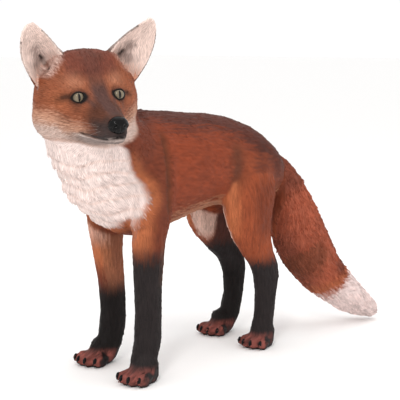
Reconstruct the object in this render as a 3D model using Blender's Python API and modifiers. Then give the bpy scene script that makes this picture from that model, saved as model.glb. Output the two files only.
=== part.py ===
"""A standing red fox figure at life size, in painted cast resin.

The fox faces -Y and has its left side at +X. It stands on four flat soles at z = 0, looks round to its left and
lets its brush hang behind it. The flesh is modelled whole from lofted rings, united, smoothed and then parted with
thin straight cuts into the pieces that a person would name. Ears, eyes, nose and claws are solids of their own.

The tables hold millimetres and degrees. Everything built from them is in metres.
"""

import math

import bmesh
import bpy
import numpy as np
from mathutils import Matrix, Vector

COLLECTION = "painted_resin_fox"
MM = 0.001

# Fineness of the solids.
GAP = 0.3 * MM
VOXEL = 3.0 * MM
SMOOTH_ROUNDS = 5
CREASE_ROUNDS = 24
CREASES_ABOVE = 55 * MM
SMOOTH_STEPS = (0.55, -0.57)
SHARP_ANGLE = math.radians(50)
CELL_SIZE = 2.4
HEAD_TRIANGLES = 5300
BODY_TRIANGLES = 2450

# Trunk, from the chest to under the root of the tail: y, height of the widest level, rise above it, drop below it,
# half width.
TRUNK = (
    (-100, 336, 20, 18, 20),
    (-92, 337, 44, 37, 43),
    (-66, 337, 78, 58, 53),
    (-25, 336, 104, 87, 62),
    (15, 337, 112, 103, 70),
    (60, 338, 106.5, 102, 74),
    (110, 341, 100, 95, 73),
    (160, 345, 91, 88, 69),
    (210, 348, 84.5, 84, 64),
    (260, 348, 75.5, 82, 62),
    (310, 343, 64, 78, 61),
    (350, 333, 50.5, 68, 57),
    (378, 322, 39, 54, 47),
    (396, 314, 29, 34, 30),
    (404, 312, 13, 14, 12),
)
TRUNK_POWER = 2.15

# Neck, from inside the chest up into the skull: x, y, z, half width, size to the front and below, size to the nape.
NECK = (
    (0, 40, 343, 63, 73, 76),
    (1, -8, 373, 74, 92, 68),
    (2, -45, 403, 79, 93, 62),
    (6, -72, 433, 74, 78, 57),
    (16, -88, 466, 62, 60, 50),
)
NECK_POWER = 2.1

# Head, in a frame of its own with the eyes on y = 0 and the nose at -Y: y, height of the widest level, rise, drop,
# half width.
EYE_MIDPOINT = (71, -109, 474)
HEAD_YAW = 71.5
HEAD_PITCH = 7
HEAD_ROLL = 2.7
HEAD = (
    (-79, -36, 12, 18, 11),
    (-73, -36, 19, 24, 16),
    (-58, -35, 23, 28, 20),
    (-39, -34, 28, 32, 25),
    (-20, -33, 34, 36, 32),
    (-6, -32, 43, 40, 42),
    (8, -31, 58, 43, 58),
    (22, -31, 78, 47, 74),
    (36, -31, 93, 51, 85),
    (54, -31, 99, 55, 87),
    (74, -30, 94, 55, 80),
    (96, -28, 77, 46, 60),
    (112, -26, 46, 28, 34),
)
HEAD_POWER = 2.4

# Ears, in the head's frame: the inner and the outer edge of the cup from the root to the tip, as pairs of x, y, z,
# and how deep the cup is between them.
EAR_EDGES = (
    ((26, 49, 34), (70, 49, -6), 32),
    ((34, 47, 54), (86, 43, 16), 31),
    ((48, 44, 72), (100, 38, 39), 27),
    ((63, 37, 88), (110, 35, 62), 21),
    ((79, 27, 102), (113, 30, 84), 13),
    ((91, 20, 111), (111, 26, 102), 6),
    ((98, 18, 116), (106, 23, 112), 2),
)
EAR_BACKWARD = (-0.25, 1, 0)
EAR_THICKNESS = 4.0
EAR_COLUMNS = 8
EAR_ROUNDNESS = 0.8

EYE_CENTRE = (34, 5, 0)
EYE_RADIUS = 11.5
NOSE_CENTRE = (0, -74, -31)
NOSE_HALF = (16.5, 11, 13)

# Tail, from inside the rump to the tip: x, y, z, half width, half depth.
TAIL = (
    (0, 366, 334, 24, 24),
    (0, 397, 325, 28, 26),
    (3, 425, 293, 37, 35),
    (9, 440.5, 247.5, 45, 48.5),
    (17, 454.5, 198.5, 51, 56.5),
    (27, 476.5, 151.5, 51, 55.5),
    (39, 504, 110.5, 46, 48),
    (53, 537, 77, 41, 40.5),
    (67, 568, 50, 36, 34.5),
    (78, 595, 32, 28, 26.5),
    (86, 614, 20.5, 19, 17),
    (88, 624, 17, 9, 8),
)

# Forelegs, from inside the shoulder down: z, sideways, y, half width, half depth. The hindlegs the same.
FORELEG = (
    (416, 36, 42, 14, 26),
    (386, 46, 34, 21, 40),
    (350, 54, 27, 25, 46),
    (311, 60, 20, 26, 46),
    (268, 62, 12.5, 26, 40.5),
    (233, 62, 8, 24, 33),
    (191, 62, 5.5, 22, 28.5),
    (141, 62, 5, 20, 26),
    (96, 62, 5, 20, 25),
    (62, 62, 2, 21, 25),
    (32, 62, -6, 22, 23),
    (8, 62, -13, 19, 18),
)
HINDLEG = (
    (374, 28, 308, 18, 38),
    (350, 34, 298, 24, 54),
    (315, 40, 286, 28, 64),
    (281, 45, 280, 30, 67),
    (246, 49, 275, 28, 58),
    (211, 51, 280, 24, 49),
    (179, 52, 296, 20, 39),
    (149, 52, 317, 18, 34),
    (123, 52, 324, 18, 29),
    (88, 52, 322, 17, 23),
    (54, 52, 318, 18, 22),
    (28, 52, 311, 20, 22),
    (8, 52, 304, 17, 17),
)
# How far each leg stands out and back from the place that the tables give, reached smoothly from one height down,
# and how far its foot comes forward again.
LEG_SHIFT = {
    "foreleg_left": (0, 0, 390, 0),
    "foreleg_right": (4, 41, 390, 2),
    "hindleg_left": (7, -11, 250, 0),
    "hindleg_right": (8, 46, 245, 20),
}
SHIFT_ENDS_AT = 70
FOOT_BELOW = 150

# Paws: how far the ball of the foot lies out from and ahead of the ankle, its half width and half length; the lobes
# that it is built of, as how far back and up, shares of the half width and half length, and half height; the toes.
ANKLE_ROW = -2
PAW_OFFSET = {
    "foreleg_left": (-8, 12),
    "foreleg_right": (-4.5, 21),
    "hindleg_left": (0.5, 2.5),
    "hindleg_right": (-3.5, 24),
}
PAW_HALF = {"fore": (25.5, 30), "hind": (25, 28)}
PAW_LOBES = (
    (2, 12, 0.9, 1.0, 20),
    (10, 26, 0.78, 0.8, 22),
)
TOE_HALF = (8.2, 18, 12.5)
TOE_SPREAD = (-1.5, -0.5, 0.5, 1.5)
TOE_PITCH = 14.5
TOE_LEAN = 8
TOE_REACH = (15, 23, 23, 15)
TOE_HEIGHT = 10
CLAW_HALF = (2.6, 3.6, 7.0)
CLAW_PLACE = (0, -16.4, 2)
CLAW_LEAN = -12

# Cuts, each as a point and the direction that it faces.
FLOOR_CUT = ((0, 0, 0), (0, 0, -1))
NECK_CUT = ((0, 70, -45), (0, 0.76, -0.65))
CHEST_CUT = ((0, -35, 385), (0, 0.6, -0.8))
MOUTH_CUT = ((0, -40, -53), (0, 0.1, 1))
JAW_CUT = ((0, -6, -57), (0, 1, 0.45))
CHIN_CUT = ((0, -30, -74), (0, 0.25, -1))
TAIL_ROOT_CUT = ((0, 403, 0), (0, -1, 0))
TAIL_CUT_ROWS = (4, 8)
SHOULDER_CUT = ((35, 0, 225), (-0.595, 0, 0.804))
HIP_CUT = ((25, 0, 246), (-0.885, 0, 0.468))
FLANK_CUT = ((0, 200, 250), (0, -0.938, 0.346))
WAIST_CUT = ((0, 150, 0), (0, 1, 0))
MIDDLE_CUT = ((8, 0, 0), (-1, 0, 0))
FORELEG_CUTS = (160, 44)
HINDLEG_CUTS = (165, 42)

PAINT = {
    "russet": ((0.29, 0.07, 0.03), 0.5),
    "black": ((0.025, 0.02, 0.02), 0.5),
    "cream": ((0.62, 0.50, 0.46), 0.5),
    "gloss_black": ((0.01, 0.01, 0.01), 0.15),
    "amber_glass": ((0.42, 0.40, 0.22), 0.08),
}


# ---------------------------------------------------------------- tools


def clear_scene():
    for found in list(bpy.data.objects):
        bpy.data.objects.remove(found)


def paint(name):
    if name in bpy.data.materials:
        return bpy.data.materials[name]
    colour, roughness = PAINT[name]
    made = bpy.data.materials.new(name)
    made.use_nodes = True
    shader = made.node_tree.nodes["Principled BSDF"]
    shader.inputs["Base Color"].default_value = (*colour, 1)
    shader.inputs["Roughness"].default_value = roughness
    shader.inputs["Metallic"].default_value = 0.0
    return made


def add_object(name, mesh, collection, material=None):
    made = bpy.data.objects.new(name, mesh)
    collection.objects.link(made)
    if material:
        mesh.materials.clear()
        mesh.materials.append(paint(material))
    mesh.shade_smooth()
    mesh.set_sharp_from_angle(angle=SHARP_ANGLE)
    return made


def evaluated_copy(source):
    """A new mesh of the object with its modifiers worked out."""
    graph = bpy.context.evaluated_depsgraph_get()
    return bpy.data.meshes.new_from_object(source.evaluated_get(graph))


def with_modifiers(mesh, *settings):
    """Runs a mesh through modifiers given as (type, {setting: value}) and returns the new mesh."""
    carrier = bpy.data.objects.new("carrier", mesh)
    bpy.context.scene.collection.objects.link(carrier)
    for kind, values in settings:
        modifier = carrier.modifiers.new(kind, kind)
        for key, value in values.items():
            setattr(modifier, key, value)
    result = evaluated_copy(carrier)
    bpy.data.objects.remove(carrier)
    return result


def boolean(mesh, cutter, operation):
    tool = bpy.data.objects.new("cutter", cutter)
    bpy.context.scene.collection.objects.link(tool)
    settings = {"operation": operation, "solver": "EXACT", "object": tool}
    result = with_modifiers(mesh, ("BOOLEAN", settings))
    bpy.data.objects.remove(tool)
    return largest_island(result)


def largest_island(mesh):
    """Drops the loose crumbs that a cut may leave."""
    work = bmesh.new()
    work.from_mesh(mesh)
    unseen = set(work.verts)
    islands = []
    while unseen:
        stack = [unseen.pop()]
        island = []
        while stack:
            vertex = stack.pop()
            island.append(vertex)
            for edge in vertex.link_edges:
                other = edge.other_vert(vertex)
                if other in unseen:
                    unseen.remove(other)
                    stack.append(other)
        islands.append(island)
    islands.sort(key=len, reverse=True)
    for island in islands[1:]:
        bmesh.ops.delete(work, geom=island, context="VERTS")
    work.to_mesh(mesh)
    work.free()
    return mesh


def catmull_rom(rows, steps):
    """Rows of numbers with smooth rows put between them; the curve passes through each given row."""
    rows = np.array(rows, float)
    padded = np.vstack([2 * rows[0] - rows[1], rows, 2 * rows[-1] - rows[-2]])
    dense = []
    for i in range(len(rows) - 1):
        before, start, end, after = padded[i : i + 4]
        for step in range(steps):
            t = step / steps
            dense.append(
                0.5
                * (
                    2 * start
                    + (end - before) * t
                    + (2 * before - 5 * start + 4 * end - after) * t * t
                    + (3 * start - before - 3 * end + after) * t**3
                )
            )
    dense.append(rows[-1])
    return dense


def ring(centre, side, up, half_width, rise, drop, power=2.0, count=28):
    """A closed superellipse, wider below or above as its rise and drop say."""
    points = []
    for i in range(count):
        angle = 2 * math.pi * i / count
        across = math.copysign(abs(math.cos(angle)) ** (2 / power), math.cos(angle))
        along = math.copysign(abs(math.sin(angle)) ** (2 / power), math.sin(angle))
        height = rise if along > 0 else drop
        points.append(centre + side * (across * half_width) + up * (along * height))
    return points


def loft(rings):
    """A closed skin over a row of rings, with a point at the middle of each end."""
    work = bmesh.new()
    rows = [[work.verts.new(point * MM) for point in points] for points in rings]
    count = len(rows[0])
    for first, second in zip(rows, rows[1:]):
        for i in range(count):
            j = (i + 1) % count
            work.faces.new((first[i], first[j], second[j], second[i]))
    for row in (rows[0], rows[-1]):
        middle = work.verts.new(sum((v.co for v in row), Vector()) / count)
        for i in range(count):
            work.faces.new((row[i], row[(i + 1) % count], middle))
    bmesh.ops.recalc_face_normals(work, faces=work.faces)
    return finished(work, "loft")


def finished(work, name):
    mesh = bpy.data.meshes.new(name)
    work.to_mesh(mesh)
    work.free()
    return mesh


def joined(meshes):
    """One mesh holding all the given closed skins, which may pass through each other."""
    work = bmesh.new()
    for mesh in meshes:
        work.from_mesh(mesh)
    return finished(work, "joined")


def ellipsoid(centre, half, matrix=Matrix(), segments=16):
    """An ellipsoid with its own frame; centre and half sizes in millimetres."""
    work = bmesh.new()
    bmesh.ops.create_uvsphere(work, u_segments=segments, v_segments=segments // 2 + 1, radius=1)
    place = matrix @ Matrix.Translation(Vector(centre) * MM)
    size = Matrix.Diagonal((half[0] * MM, half[1] * MM, half[2] * MM, 1))
    work.transform(place @ size)
    return finished(work, "ellipsoid")


def convex_cell(planes, grown=0.0):
    """The space inside all the given (point, outward normal) planes, each pushed out by `grown`."""
    work = bmesh.new()
    bmesh.ops.create_cube(work, size=CELL_SIZE)
    for point, normal in planes:
        outward = Vector(normal).normalized()
        everything = work.verts[:] + work.edges[:] + work.faces[:]
        cut = bmesh.ops.bisect_plane(
            work,
            geom=everything,
            plane_co=Vector(point) * MM + outward * grown,
            plane_no=outward,
            clear_outer=True,
        )
        edges = [item for item in cut["geom_cut"] if isinstance(item, bmesh.types.BMEdge)]
        bmesh.ops.contextual_create(work, geom=edges)
    bmesh.ops.recalc_face_normals(work, faces=work.faces)
    return finished(work, "cell")


# ---------------------------------------------------------------- flesh


def head_matrix():
    turn = (
        Matrix.Rotation(math.radians(HEAD_YAW), 4, "Z")
        @ Matrix.Rotation(math.radians(HEAD_PITCH), 4, "X")
        @ Matrix.Rotation(math.radians(-HEAD_ROLL), 4, "Y")
    )
    return Matrix.Translation(Vector(EYE_MIDPOINT) * MM) @ turn


def along_y(table, power):
    rings = []
    for y, z, rise, drop, half in catmull_rom(table, 5):
        rings.append(ring(Vector((0, y, z)), Vector((1, 0, 0)), Vector((0, 0, 1)), half, rise, drop, power))
    return loft(rings)


def along_path(table, power=2.0):
    """Rings square to a path; each row is x, y, z, half width, then the sizes to the front and to the back."""
    rows = catmull_rom(table, 5)
    rings = []
    for i, row in enumerate(rows):
        before = rows[max(i - 1, 0)]
        after = rows[min(i + 1, len(rows) - 1)]
        direction = Vector(after[:3] - before[:3]).normalized()
        side = (Vector((1, 0, 0)) - direction * direction.x).normalized()
        up = side.cross(direction)
        if up.z < 0:
            up = -up
        rings.append(ring(Vector(row[:3]), side, up, row[3], row[5], row[4], power))
    return loft(rings)


def leg_rows(name):
    """The leg's table mirrored to its side and moved to where it stands."""
    table = FORELEG if name.startswith("fore") else HINDLEG
    mirror = 1 if name.endswith("left") else -1
    out, back, starts_at, forward = LEG_SHIFT[name]
    rows = []
    for z, side, y, half_width, half_depth in table:
        share = min(1.0, max(0.0, (starts_at - z) / (starts_at - SHIFT_ENDS_AT)))
        share = share * share * (3 - 2 * share)
        step = forward * max(0.0, 1 - z / FOOT_BELOW)
        rows.append((z, mirror * (side + out * share), y + back * share - step, half_width, half_depth))
    return rows


def build_leg(name):
    rings = []
    for z, x, y, half_width, half_depth in catmull_rom(leg_rows(name), 5):
        rings.append(ring(Vector((x, y, z)), Vector((1, 0, 0)), Vector((0, 1, 0)), half_width, half_depth, half_depth))
    return loft(rings)


def paw_middle(name):
    """Where the ball of the foot stands on the floor, in millimetres."""
    x, y = leg_rows(name)[ANKLE_ROW][1:3]
    out, ahead = PAW_OFFSET[name]
    return Vector((x + math.copysign(out, x), y - ahead, 0))


def toe_frames(name):
    """The frame of each toe, at its middle, from the outer right toe to the outer left one."""
    size = PAW_HALF[name[:4]][0] / PAW_HALF["fore"][0]
    for spread, reach in zip(TOE_SPREAD, TOE_REACH):
        place = paw_middle(name) + Vector((spread * TOE_PITCH, -reach, TOE_HEIGHT)) * size
        lean = Matrix.Rotation(math.radians(TOE_LEAN * spread), 4, "Z")
        yield Matrix.Translation(place * MM) @ lean @ Matrix.Scale(size, 4)


def build_paw(name):
    half_width, half_length = PAW_HALF[name[:4]]
    pieces = []
    for back, up, wide, long, half_height in PAW_LOBES:
        half = (half_width * wide, half_length * long, half_height)
        pieces.append(ellipsoid(paw_middle(name) + Vector((0, back, up)), half, segments=24))
    for frame in toe_frames(name):
        pieces.append(ellipsoid((0, 0, 0), TOE_HALF, frame))
    return joined(pieces)


def neighbour_mean(mesh, places):
    """For each vertex, the mean place of its neighbours."""
    count = len(places)
    edges = np.empty(len(mesh.edges) * 2, int)
    mesh.edges.foreach_get("vertices", edges)
    first, second = edges.reshape(-1, 2).T
    total = np.empty_like(places)
    for axis in range(3):
        total[:, axis] = np.bincount(first, places[second, axis], count)
        total[:, axis] += np.bincount(second, places[first, axis], count)
    return total / np.bincount(edges, minlength=count)[:, None]


def read_vectors(items, field):
    values = np.empty(len(items) * 3)
    items.foreach_get(field, values)
    return values.reshape(-1, 3)


def evened(mesh, rounds):
    """Evens out the steps of the voxels without shrinking the shape."""
    places = read_vectors(mesh.vertices, "co")
    for factor in SMOOTH_STEPS * rounds:
        places = places + factor * (neighbour_mean(mesh, places) - places)
    mesh.vertices.foreach_set("co", places.ravel())
    mesh.update()


def creases_filled(mesh, rounds):
    """Rounds the hollows where limbs and body meet; what bulges out stays as it is, and so do the paws."""
    for _ in range(rounds):
        places = read_vectors(mesh.vertices, "co")
        normals = read_vectors(mesh.vertices, "normal")
        pull = neighbour_mean(mesh, places) - places
        depth = (pull * normals).sum(axis=1)
        depth[(depth < 0) | (places[:, 2] < CREASES_ABOVE)] = 0
        places += normals * depth[:, None]
        mesh.vertices.foreach_set("co", places.ravel())
        mesh.update()


def build_flesh():
    head = along_y(HEAD, HEAD_POWER)
    head.transform(head_matrix())
    tail = [(*row, row[-1]) for row in TAIL]
    pieces = [along_y(TRUNK, TRUNK_POWER), along_path(NECK, NECK_POWER), head, along_path(tail)]
    for name in LEG_SHIFT:
        pieces.append(build_leg(name))
        pieces.append(build_paw(name))
    remesh = {"mode": "VOXEL", "voxel_size": VOXEL}
    mesh = with_modifiers(joined(pieces), ("REMESH", remesh))
    evened(mesh, SMOOTH_ROUNDS)
    creases_filled(mesh, CREASE_ROUNDS)
    return mesh


def reduced(mesh, triangles):
    """A copy of about so many triangles."""
    ratio = triangles / sum(len(face.vertices) - 2 for face in mesh.polygons)
    return with_modifiers(mesh.copy(), ("DECIMATE", {"ratio": ratio}))


# ---------------------------------------------------------------- head pieces


def build_ear(side):
    """The cup of an ear, its root still inside the skull; side is 1 for the left ear and -1 for the right."""
    rows = [(*inner, *outer, depth) for inner, outer, depth in EAR_EDGES]
    backward = Vector(EAR_BACKWARD).normalized()
    work = bmesh.new()
    grid = []
    for row in catmull_rom(rows, 2):
        inner, outer, depth = Vector(row[0:3]), Vector(row[3:6]), row[6]
        line = []
        for i in range(EAR_COLUMNS + 1):
            share = i / EAR_COLUMNS
            bulge = math.sin(math.pi * share) ** EAR_ROUNDNESS * depth
            point = inner.lerp(outer, share) + backward * bulge
            line.append(work.verts.new((side * point.x * MM, point.y * MM, point.z * MM)))
        grid.append(line)
    for low, high in zip(grid, grid[1:]):
        for i in range(EAR_COLUMNS):
            work.faces.new((low[i], low[i + 1], high[i + 1], high[i]))
    bmesh.ops.recalc_face_normals(work, faces=work.faces)
    sheet = finished(work, "ear")
    thick = {"thickness": EAR_THICKNESS * MM, "offset": 0.0, "use_even_offset": False}
    ear = with_modifiers(sheet, ("SOLIDIFY", thick))
    ear.transform(head_matrix())
    return ear


def grown(mesh):
    """A copy pushed out by the gap that touching pieces keep."""
    return with_modifiers(mesh.copy(), ("DISPLACE", {"strength": GAP, "mid_level": 0.0}))


def in_head(cut):
    """A cut given in the head's frame, as it lies in the world."""
    point, direction = cut
    matrix = head_matrix()
    return matrix @ (Vector(point) * MM) / MM, matrix.to_3x3() @ Vector(direction)


def mirrored(cut, side):
    point, direction = cut
    return (side * point[0], *point[1:]), (side * direction[0], *direction[1:])


def build_head_pieces(flesh):
    """The head and all that is set into it, as a dictionary of meshes."""
    pieces = {}
    head = boolean(reduced(flesh, HEAD_TRIANGLES), convex_cell([in_head(NECK_CUT)]), "INTERSECT")
    outside = grown(head)
    x, y, z = EYE_CENTRE
    set_in = {
        "eye_left": ((x, y, z), (EYE_RADIUS,) * 3),
        "eye_right": ((-x, y, z), (EYE_RADIUS,) * 3),
        "nose": (NOSE_CENTRE, NOSE_HALF),
    }
    for name, (centre, half) in set_in.items():
        pieces[name] = ellipsoid(centre, half, head_matrix())
        socket = ellipsoid(centre, [size + GAP / MM for size in half], head_matrix())
        head = boolean(head, socket, "DIFFERENCE")
    jaw_cuts = [in_head(cut) for cut in (MOUTH_CUT, JAW_CUT, CHIN_CUT)]
    pieces["lower_jaw"] = boolean(head, convex_cell(jaw_cuts), "INTERSECT")
    pieces["head"] = boolean(head, convex_cell(jaw_cuts, GAP), "DIFFERENCE")
    for name, side in (("ear_left", 1), ("ear_right", -1)):
        pieces[name] = boolean(build_ear(side), outside, "DIFFERENCE")
    return pieces


# ---------------------------------------------------------------- body pieces


def claw_frames(name):
    """The frames of the claws of a paw, each lying against the front of its toe."""
    for frame in toe_frames(name):
        place = Matrix.Translation(Vector(CLAW_PLACE) * MM)
        yield frame @ place @ Matrix.Rotation(math.radians(CLAW_LEAN), 4, "X")


def tail_cut(index):
    """A cut square to the tail's path at one row of its table, facing the rump."""
    before, here, after = (Vector(TAIL[i][:3]) for i in (index - 1, index, index + 1))
    return here, before - after


def build_body_cells():
    """The convex cell of each piece of the body; the trunk is what they leave."""
    first, second = (tail_cut(index) for index in TAIL_CUT_ROWS)
    cells = {
        "tail_tip": [TAIL_ROOT_CUT, second],
        "tail_middle": [TAIL_ROOT_CUT, first],
        "tail_base": [TAIL_ROOT_CUT],
        "neck": [CHEST_CUT],
    }
    for side, word in ((1, "left"), (-1, "right")):
        middle = mirrored(MIDDLE_CUT, side)
        shoulder = [middle, mirrored(SHOULDER_CUT, side), WAIST_CUT]
        hip = [middle, mirrored(HIP_CUT, side), FLANK_CUT]
        for kind, cuts, (knee, ankle) in (("fore", shoulder, FORELEG_CUTS), ("hind", hip, HINDLEG_CUTS)):
            cells[f"{kind}paw_{word}"] = [*cuts, ((0, 0, ankle), (0, 0, 1))]
            cells[f"{kind}leg_{word}_lower"] = [*cuts, ((0, 0, knee), (0, 0, 1))]
            cells[f"{kind}leg_{word}_upper"] = cuts
    return cells


def build_body_pieces(flesh):
    pieces = {}
    rest = boolean(reduced(flesh, BODY_TRIANGLES), convex_cell([FLOOR_CUT]), "INTERSECT")
    rest = boolean(rest, convex_cell([in_head(NECK_CUT)], GAP), "DIFFERENCE")
    for name, cuts in build_body_cells().items():
        pieces[name] = boolean(rest.copy(), convex_cell(cuts), "INTERSECT")
        rest = boolean(rest, convex_cell(cuts, GAP), "DIFFERENCE")
    pieces["trunk"] = rest
    for leg in LEG_SHIFT:
        paw = f"{leg[:4]}paw_{leg[8:]}"
        for number, place in enumerate(claw_frames(leg), 1):
            name = f"claw_{leg[:4]}_{leg[8:]}_{number}"
            pieces[name] = ellipsoid((0, 0, 0), CLAW_HALF, place, 8)
            socket = ellipsoid((0, 0, 0), [size + GAP / MM for size in CLAW_HALF], place, 8)
            pieces[paw] = boolean(pieces[paw], socket, "DIFFERENCE")
    return pieces


# ---------------------------------------------------------------- main


def material_of(name):
    if name.startswith("eye"):
        return "amber_glass"
    if name.startswith("claw") or name == "nose":
        return "gloss_black"
    if name.endswith("lower") or "paw" in name:
        return "black"
    if name in ("tail_tip", "lower_jaw"):
        return "cream"
    return "russet"


def main():
    clear_scene()
    parts = bpy.data.collections.new(COLLECTION)
    bpy.context.scene.collection.children.link(parts)
    flesh = build_flesh()
    pieces = build_head_pieces(flesh) | build_body_pieces(flesh)
    corners = np.array([vertex.co for mesh in pieces.values() for vertex in mesh.vertices])
    low, high = corners.min(axis=0), corners.max(axis=0)
    middle = Vector(((low[0] + high[0]) / 2, (low[1] + high[1]) / 2, low[2]))
    for name, mesh in pieces.items():
        mesh.transform(Matrix.Translation(-middle))
        add_object(name, mesh, parts, material_of(name))


main()
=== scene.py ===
"""A painted cast-resin red fox: its moulded fur, paint, glossy eyes, nose and claws, on a plain studio floor.

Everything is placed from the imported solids. Three sets of axes are used, all in millimetres:
- the fox's own: x out to its left from the midline, y back from the shoulder, z up from the floor;
- the head's: x to its left, y to the back of the head, z up, starting between the eyes;
- the tail's: the share of its length, and the offset from its middle line.
"""

import math

import bmesh
import bpy
import numpy as np
from bpy.props import BoolProperty, FloatProperty, FloatVectorProperty, PointerProperty
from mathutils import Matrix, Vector
from mathutils.bvhtree import BVHTree


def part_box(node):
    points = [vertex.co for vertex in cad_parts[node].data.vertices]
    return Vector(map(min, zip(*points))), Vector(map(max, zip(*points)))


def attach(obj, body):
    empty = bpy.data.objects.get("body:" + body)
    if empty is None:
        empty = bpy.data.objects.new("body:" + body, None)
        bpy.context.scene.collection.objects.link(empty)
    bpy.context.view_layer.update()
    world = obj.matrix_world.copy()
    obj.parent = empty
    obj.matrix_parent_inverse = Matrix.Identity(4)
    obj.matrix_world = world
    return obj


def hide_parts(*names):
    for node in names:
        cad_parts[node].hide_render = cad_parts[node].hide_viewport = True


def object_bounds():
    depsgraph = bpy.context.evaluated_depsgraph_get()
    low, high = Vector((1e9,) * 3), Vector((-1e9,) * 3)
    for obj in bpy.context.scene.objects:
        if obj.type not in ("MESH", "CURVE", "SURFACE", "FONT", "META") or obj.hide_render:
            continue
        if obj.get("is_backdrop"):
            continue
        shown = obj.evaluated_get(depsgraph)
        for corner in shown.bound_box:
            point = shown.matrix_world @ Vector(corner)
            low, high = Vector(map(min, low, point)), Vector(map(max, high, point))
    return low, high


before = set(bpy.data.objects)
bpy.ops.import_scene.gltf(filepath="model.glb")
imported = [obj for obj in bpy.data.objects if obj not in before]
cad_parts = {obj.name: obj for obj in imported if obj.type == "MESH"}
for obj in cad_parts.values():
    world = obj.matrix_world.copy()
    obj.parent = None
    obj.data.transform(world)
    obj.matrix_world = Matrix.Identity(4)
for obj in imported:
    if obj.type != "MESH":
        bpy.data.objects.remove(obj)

bl_info = {
    "name": "Painted Resin Fox",
    "version": (1, 0, 0),
    "blender": (4, 5, 0),
    "location": "3D View > Sidebar > Resin Fox",
    "description": "Builds the moulded skin, fur locks and glossy details of a life-size resin fox",
    "category": "Object",
}

MM = 0.001


# ---------------------------------------------------------------- small tools


def linear(code):
    """An sRGB hex colour as linear red, green and blue."""
    parts = [int(code[i : i + 2], 16) / 255 for i in (1, 3, 5)]
    return tuple(c / 12.92 if c <= 0.04045 else ((c + 0.055) / 1.055) ** 2.4 for c in parts)


def unit(vectors):
    """The same directions with length 1."""
    return vectors / np.maximum(np.linalg.norm(vectors, axis=-1, keepdims=True), 1e-12)


def ramp(value, low, high):
    """0 at low, 1 at high, with a soft start and end."""
    share = np.clip((value - low) / (high - low), 0, 1)
    return share * share * (3 - 2 * share)


def hill(distance, width):
    """1 where the distance is 0, falling smoothly to about a third at the width."""
    return np.exp(-((distance / width) ** 2))


def lumps(points, size, seed):
    """Smooth random values from -1 to 1, with lumps of about `size`."""
    table = np.random.default_rng(seed).uniform(-1, 1, 4096)
    cell = np.floor(points / size).astype(np.int64)
    share = points / size - cell
    share = share * share * (3 - 2 * share)
    total = np.zeros(len(points))
    for corner in np.ndindex(2, 2, 2):
        x, y, z = (cell + corner).T
        value = table[(x * 73 + y * 1179 + z * 2833) % 4096]
        total += value * np.prod(np.where(corner, share, 1 - share), axis=1)
    return total


def to_segments(points, line):
    """Distance of each point from a row of straight segments."""
    nearest = np.full(len(points), 1e9)
    for start, end in zip(line, line[1:]):
        start = np.array(start, float)
        along = np.array(end, float) - start
        share = np.clip((points - start) @ along / (along @ along), 0, 1)
        nearest = np.minimum(nearest, np.linalg.norm(points - start - share[:, None] * along, axis=1))
    return nearest


def read(items, field, width=3, kind=float):
    """A field of a mesh's vertices, edges or triangles as an array."""
    values = np.empty(len(items) * width, kind)
    items.foreach_get(field, values)
    return values.reshape(-1, width) if width > 1 else values


def write_places(mesh, places):
    mesh.vertices.foreach_set("co", np.ascontiguousarray(places).ravel())
    mesh.update()


def write_field(mesh, name, kind, values):
    """Stores one value for each vertex under a name that the materials read."""
    field = mesh.attributes.get(name) or mesh.attributes.new(name, kind, "POINT")
    if kind == "FLOAT_COLOR":
        values = np.column_stack([values, np.ones(len(values))])
    word = {"FLOAT_COLOR": "color", "FLOAT_VECTOR": "vector", "FLOAT": "value"}[kind]
    field.data.foreach_set(word, np.ascontiguousarray(values, np.float32).ravel())


def with_modifiers(mesh, *settings):
    """Runs a mesh through modifiers given as (type, {setting: value}) and returns the new mesh."""
    carrier = bpy.data.objects.new("carrier", mesh)
    bpy.context.scene.collection.objects.link(carrier)
    for kind, values in settings:
        modifier = carrier.modifiers.new(kind, kind)
        for key, value in values.items():
            setattr(modifier, key, value)
    graph = bpy.context.evaluated_depsgraph_get()
    result = bpy.data.meshes.new_from_object(carrier.evaluated_get(graph))
    bpy.data.objects.remove(carrier)
    return result


def mesh_of(name, points, faces):
    """A mesh from plain lists of points and faces."""
    made = bpy.data.meshes.new(name)
    made.from_pydata([tuple(p) for p in points], [], [tuple(f) for f in faces])
    return made


def add_piece(name, mesh, material, replaced=()):
    """Puts a finished mesh in the scene as a piece of the fox."""
    made = bpy.data.objects.new(name, mesh)
    bpy.context.scene.collection.objects.link(made)
    mesh.materials.clear()
    mesh.materials.append(material)
    mesh.shade_smooth()
    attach(made, "root")
    if replaced:
        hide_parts(*replaced)
    return made


# ---------------------------------------------------------------- axes


def middle(name):
    """Middle of a solid's box, in metres."""
    low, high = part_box(name)
    return (np.array(low) + np.array(high)) / 2


# Left eyeball's middle, its radius, and the way from between the eyes to the nose, in the head's axes.
HEAD_EYE = np.array([34.0, 5.0, 0.0])
EYE_RADIUS = 11.5
NOSE_BELOW_EYES = np.array([0.0, -79.0, -31.0])


def head_axes():
    """Origin and axes of the head, from where the eyes and the nose are: columns are left, back and up."""
    left = unit(middle("eye_left") - middle("eye_right"))
    between = (middle("eye_left") + middle("eye_right")) / 2
    ahead = unit(middle("nose") - between)
    a, b = unit(NOSE_BELOW_EYES)[1:]
    across = np.cross(left, ahead)
    back = a * ahead - b * across
    up = b * ahead + a * across
    return between - back * HEAD_EYE[1] * MM, np.column_stack([left, back, up])


HEAD_ORIGIN, HEAD_TURN = head_axes()


def in_head(points):
    """From metres in the frame to millimetres in the head's axes."""
    return (points - HEAD_ORIGIN) @ HEAD_TURN / MM


def from_head(points):
    """From the head's axes back to metres in the frame."""
    return np.asarray(points, float) @ HEAD_TURN.T * MM + HEAD_ORIGIN


# The y axis starts a little ahead of the middle of the upper foreleg.
SHOULDER_AHEAD = 0.0106
SHOULDER = np.array([middle("trunk")[0], middle("foreleg_left_upper")[1] - SHOULDER_AHEAD, 0.0])


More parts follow.
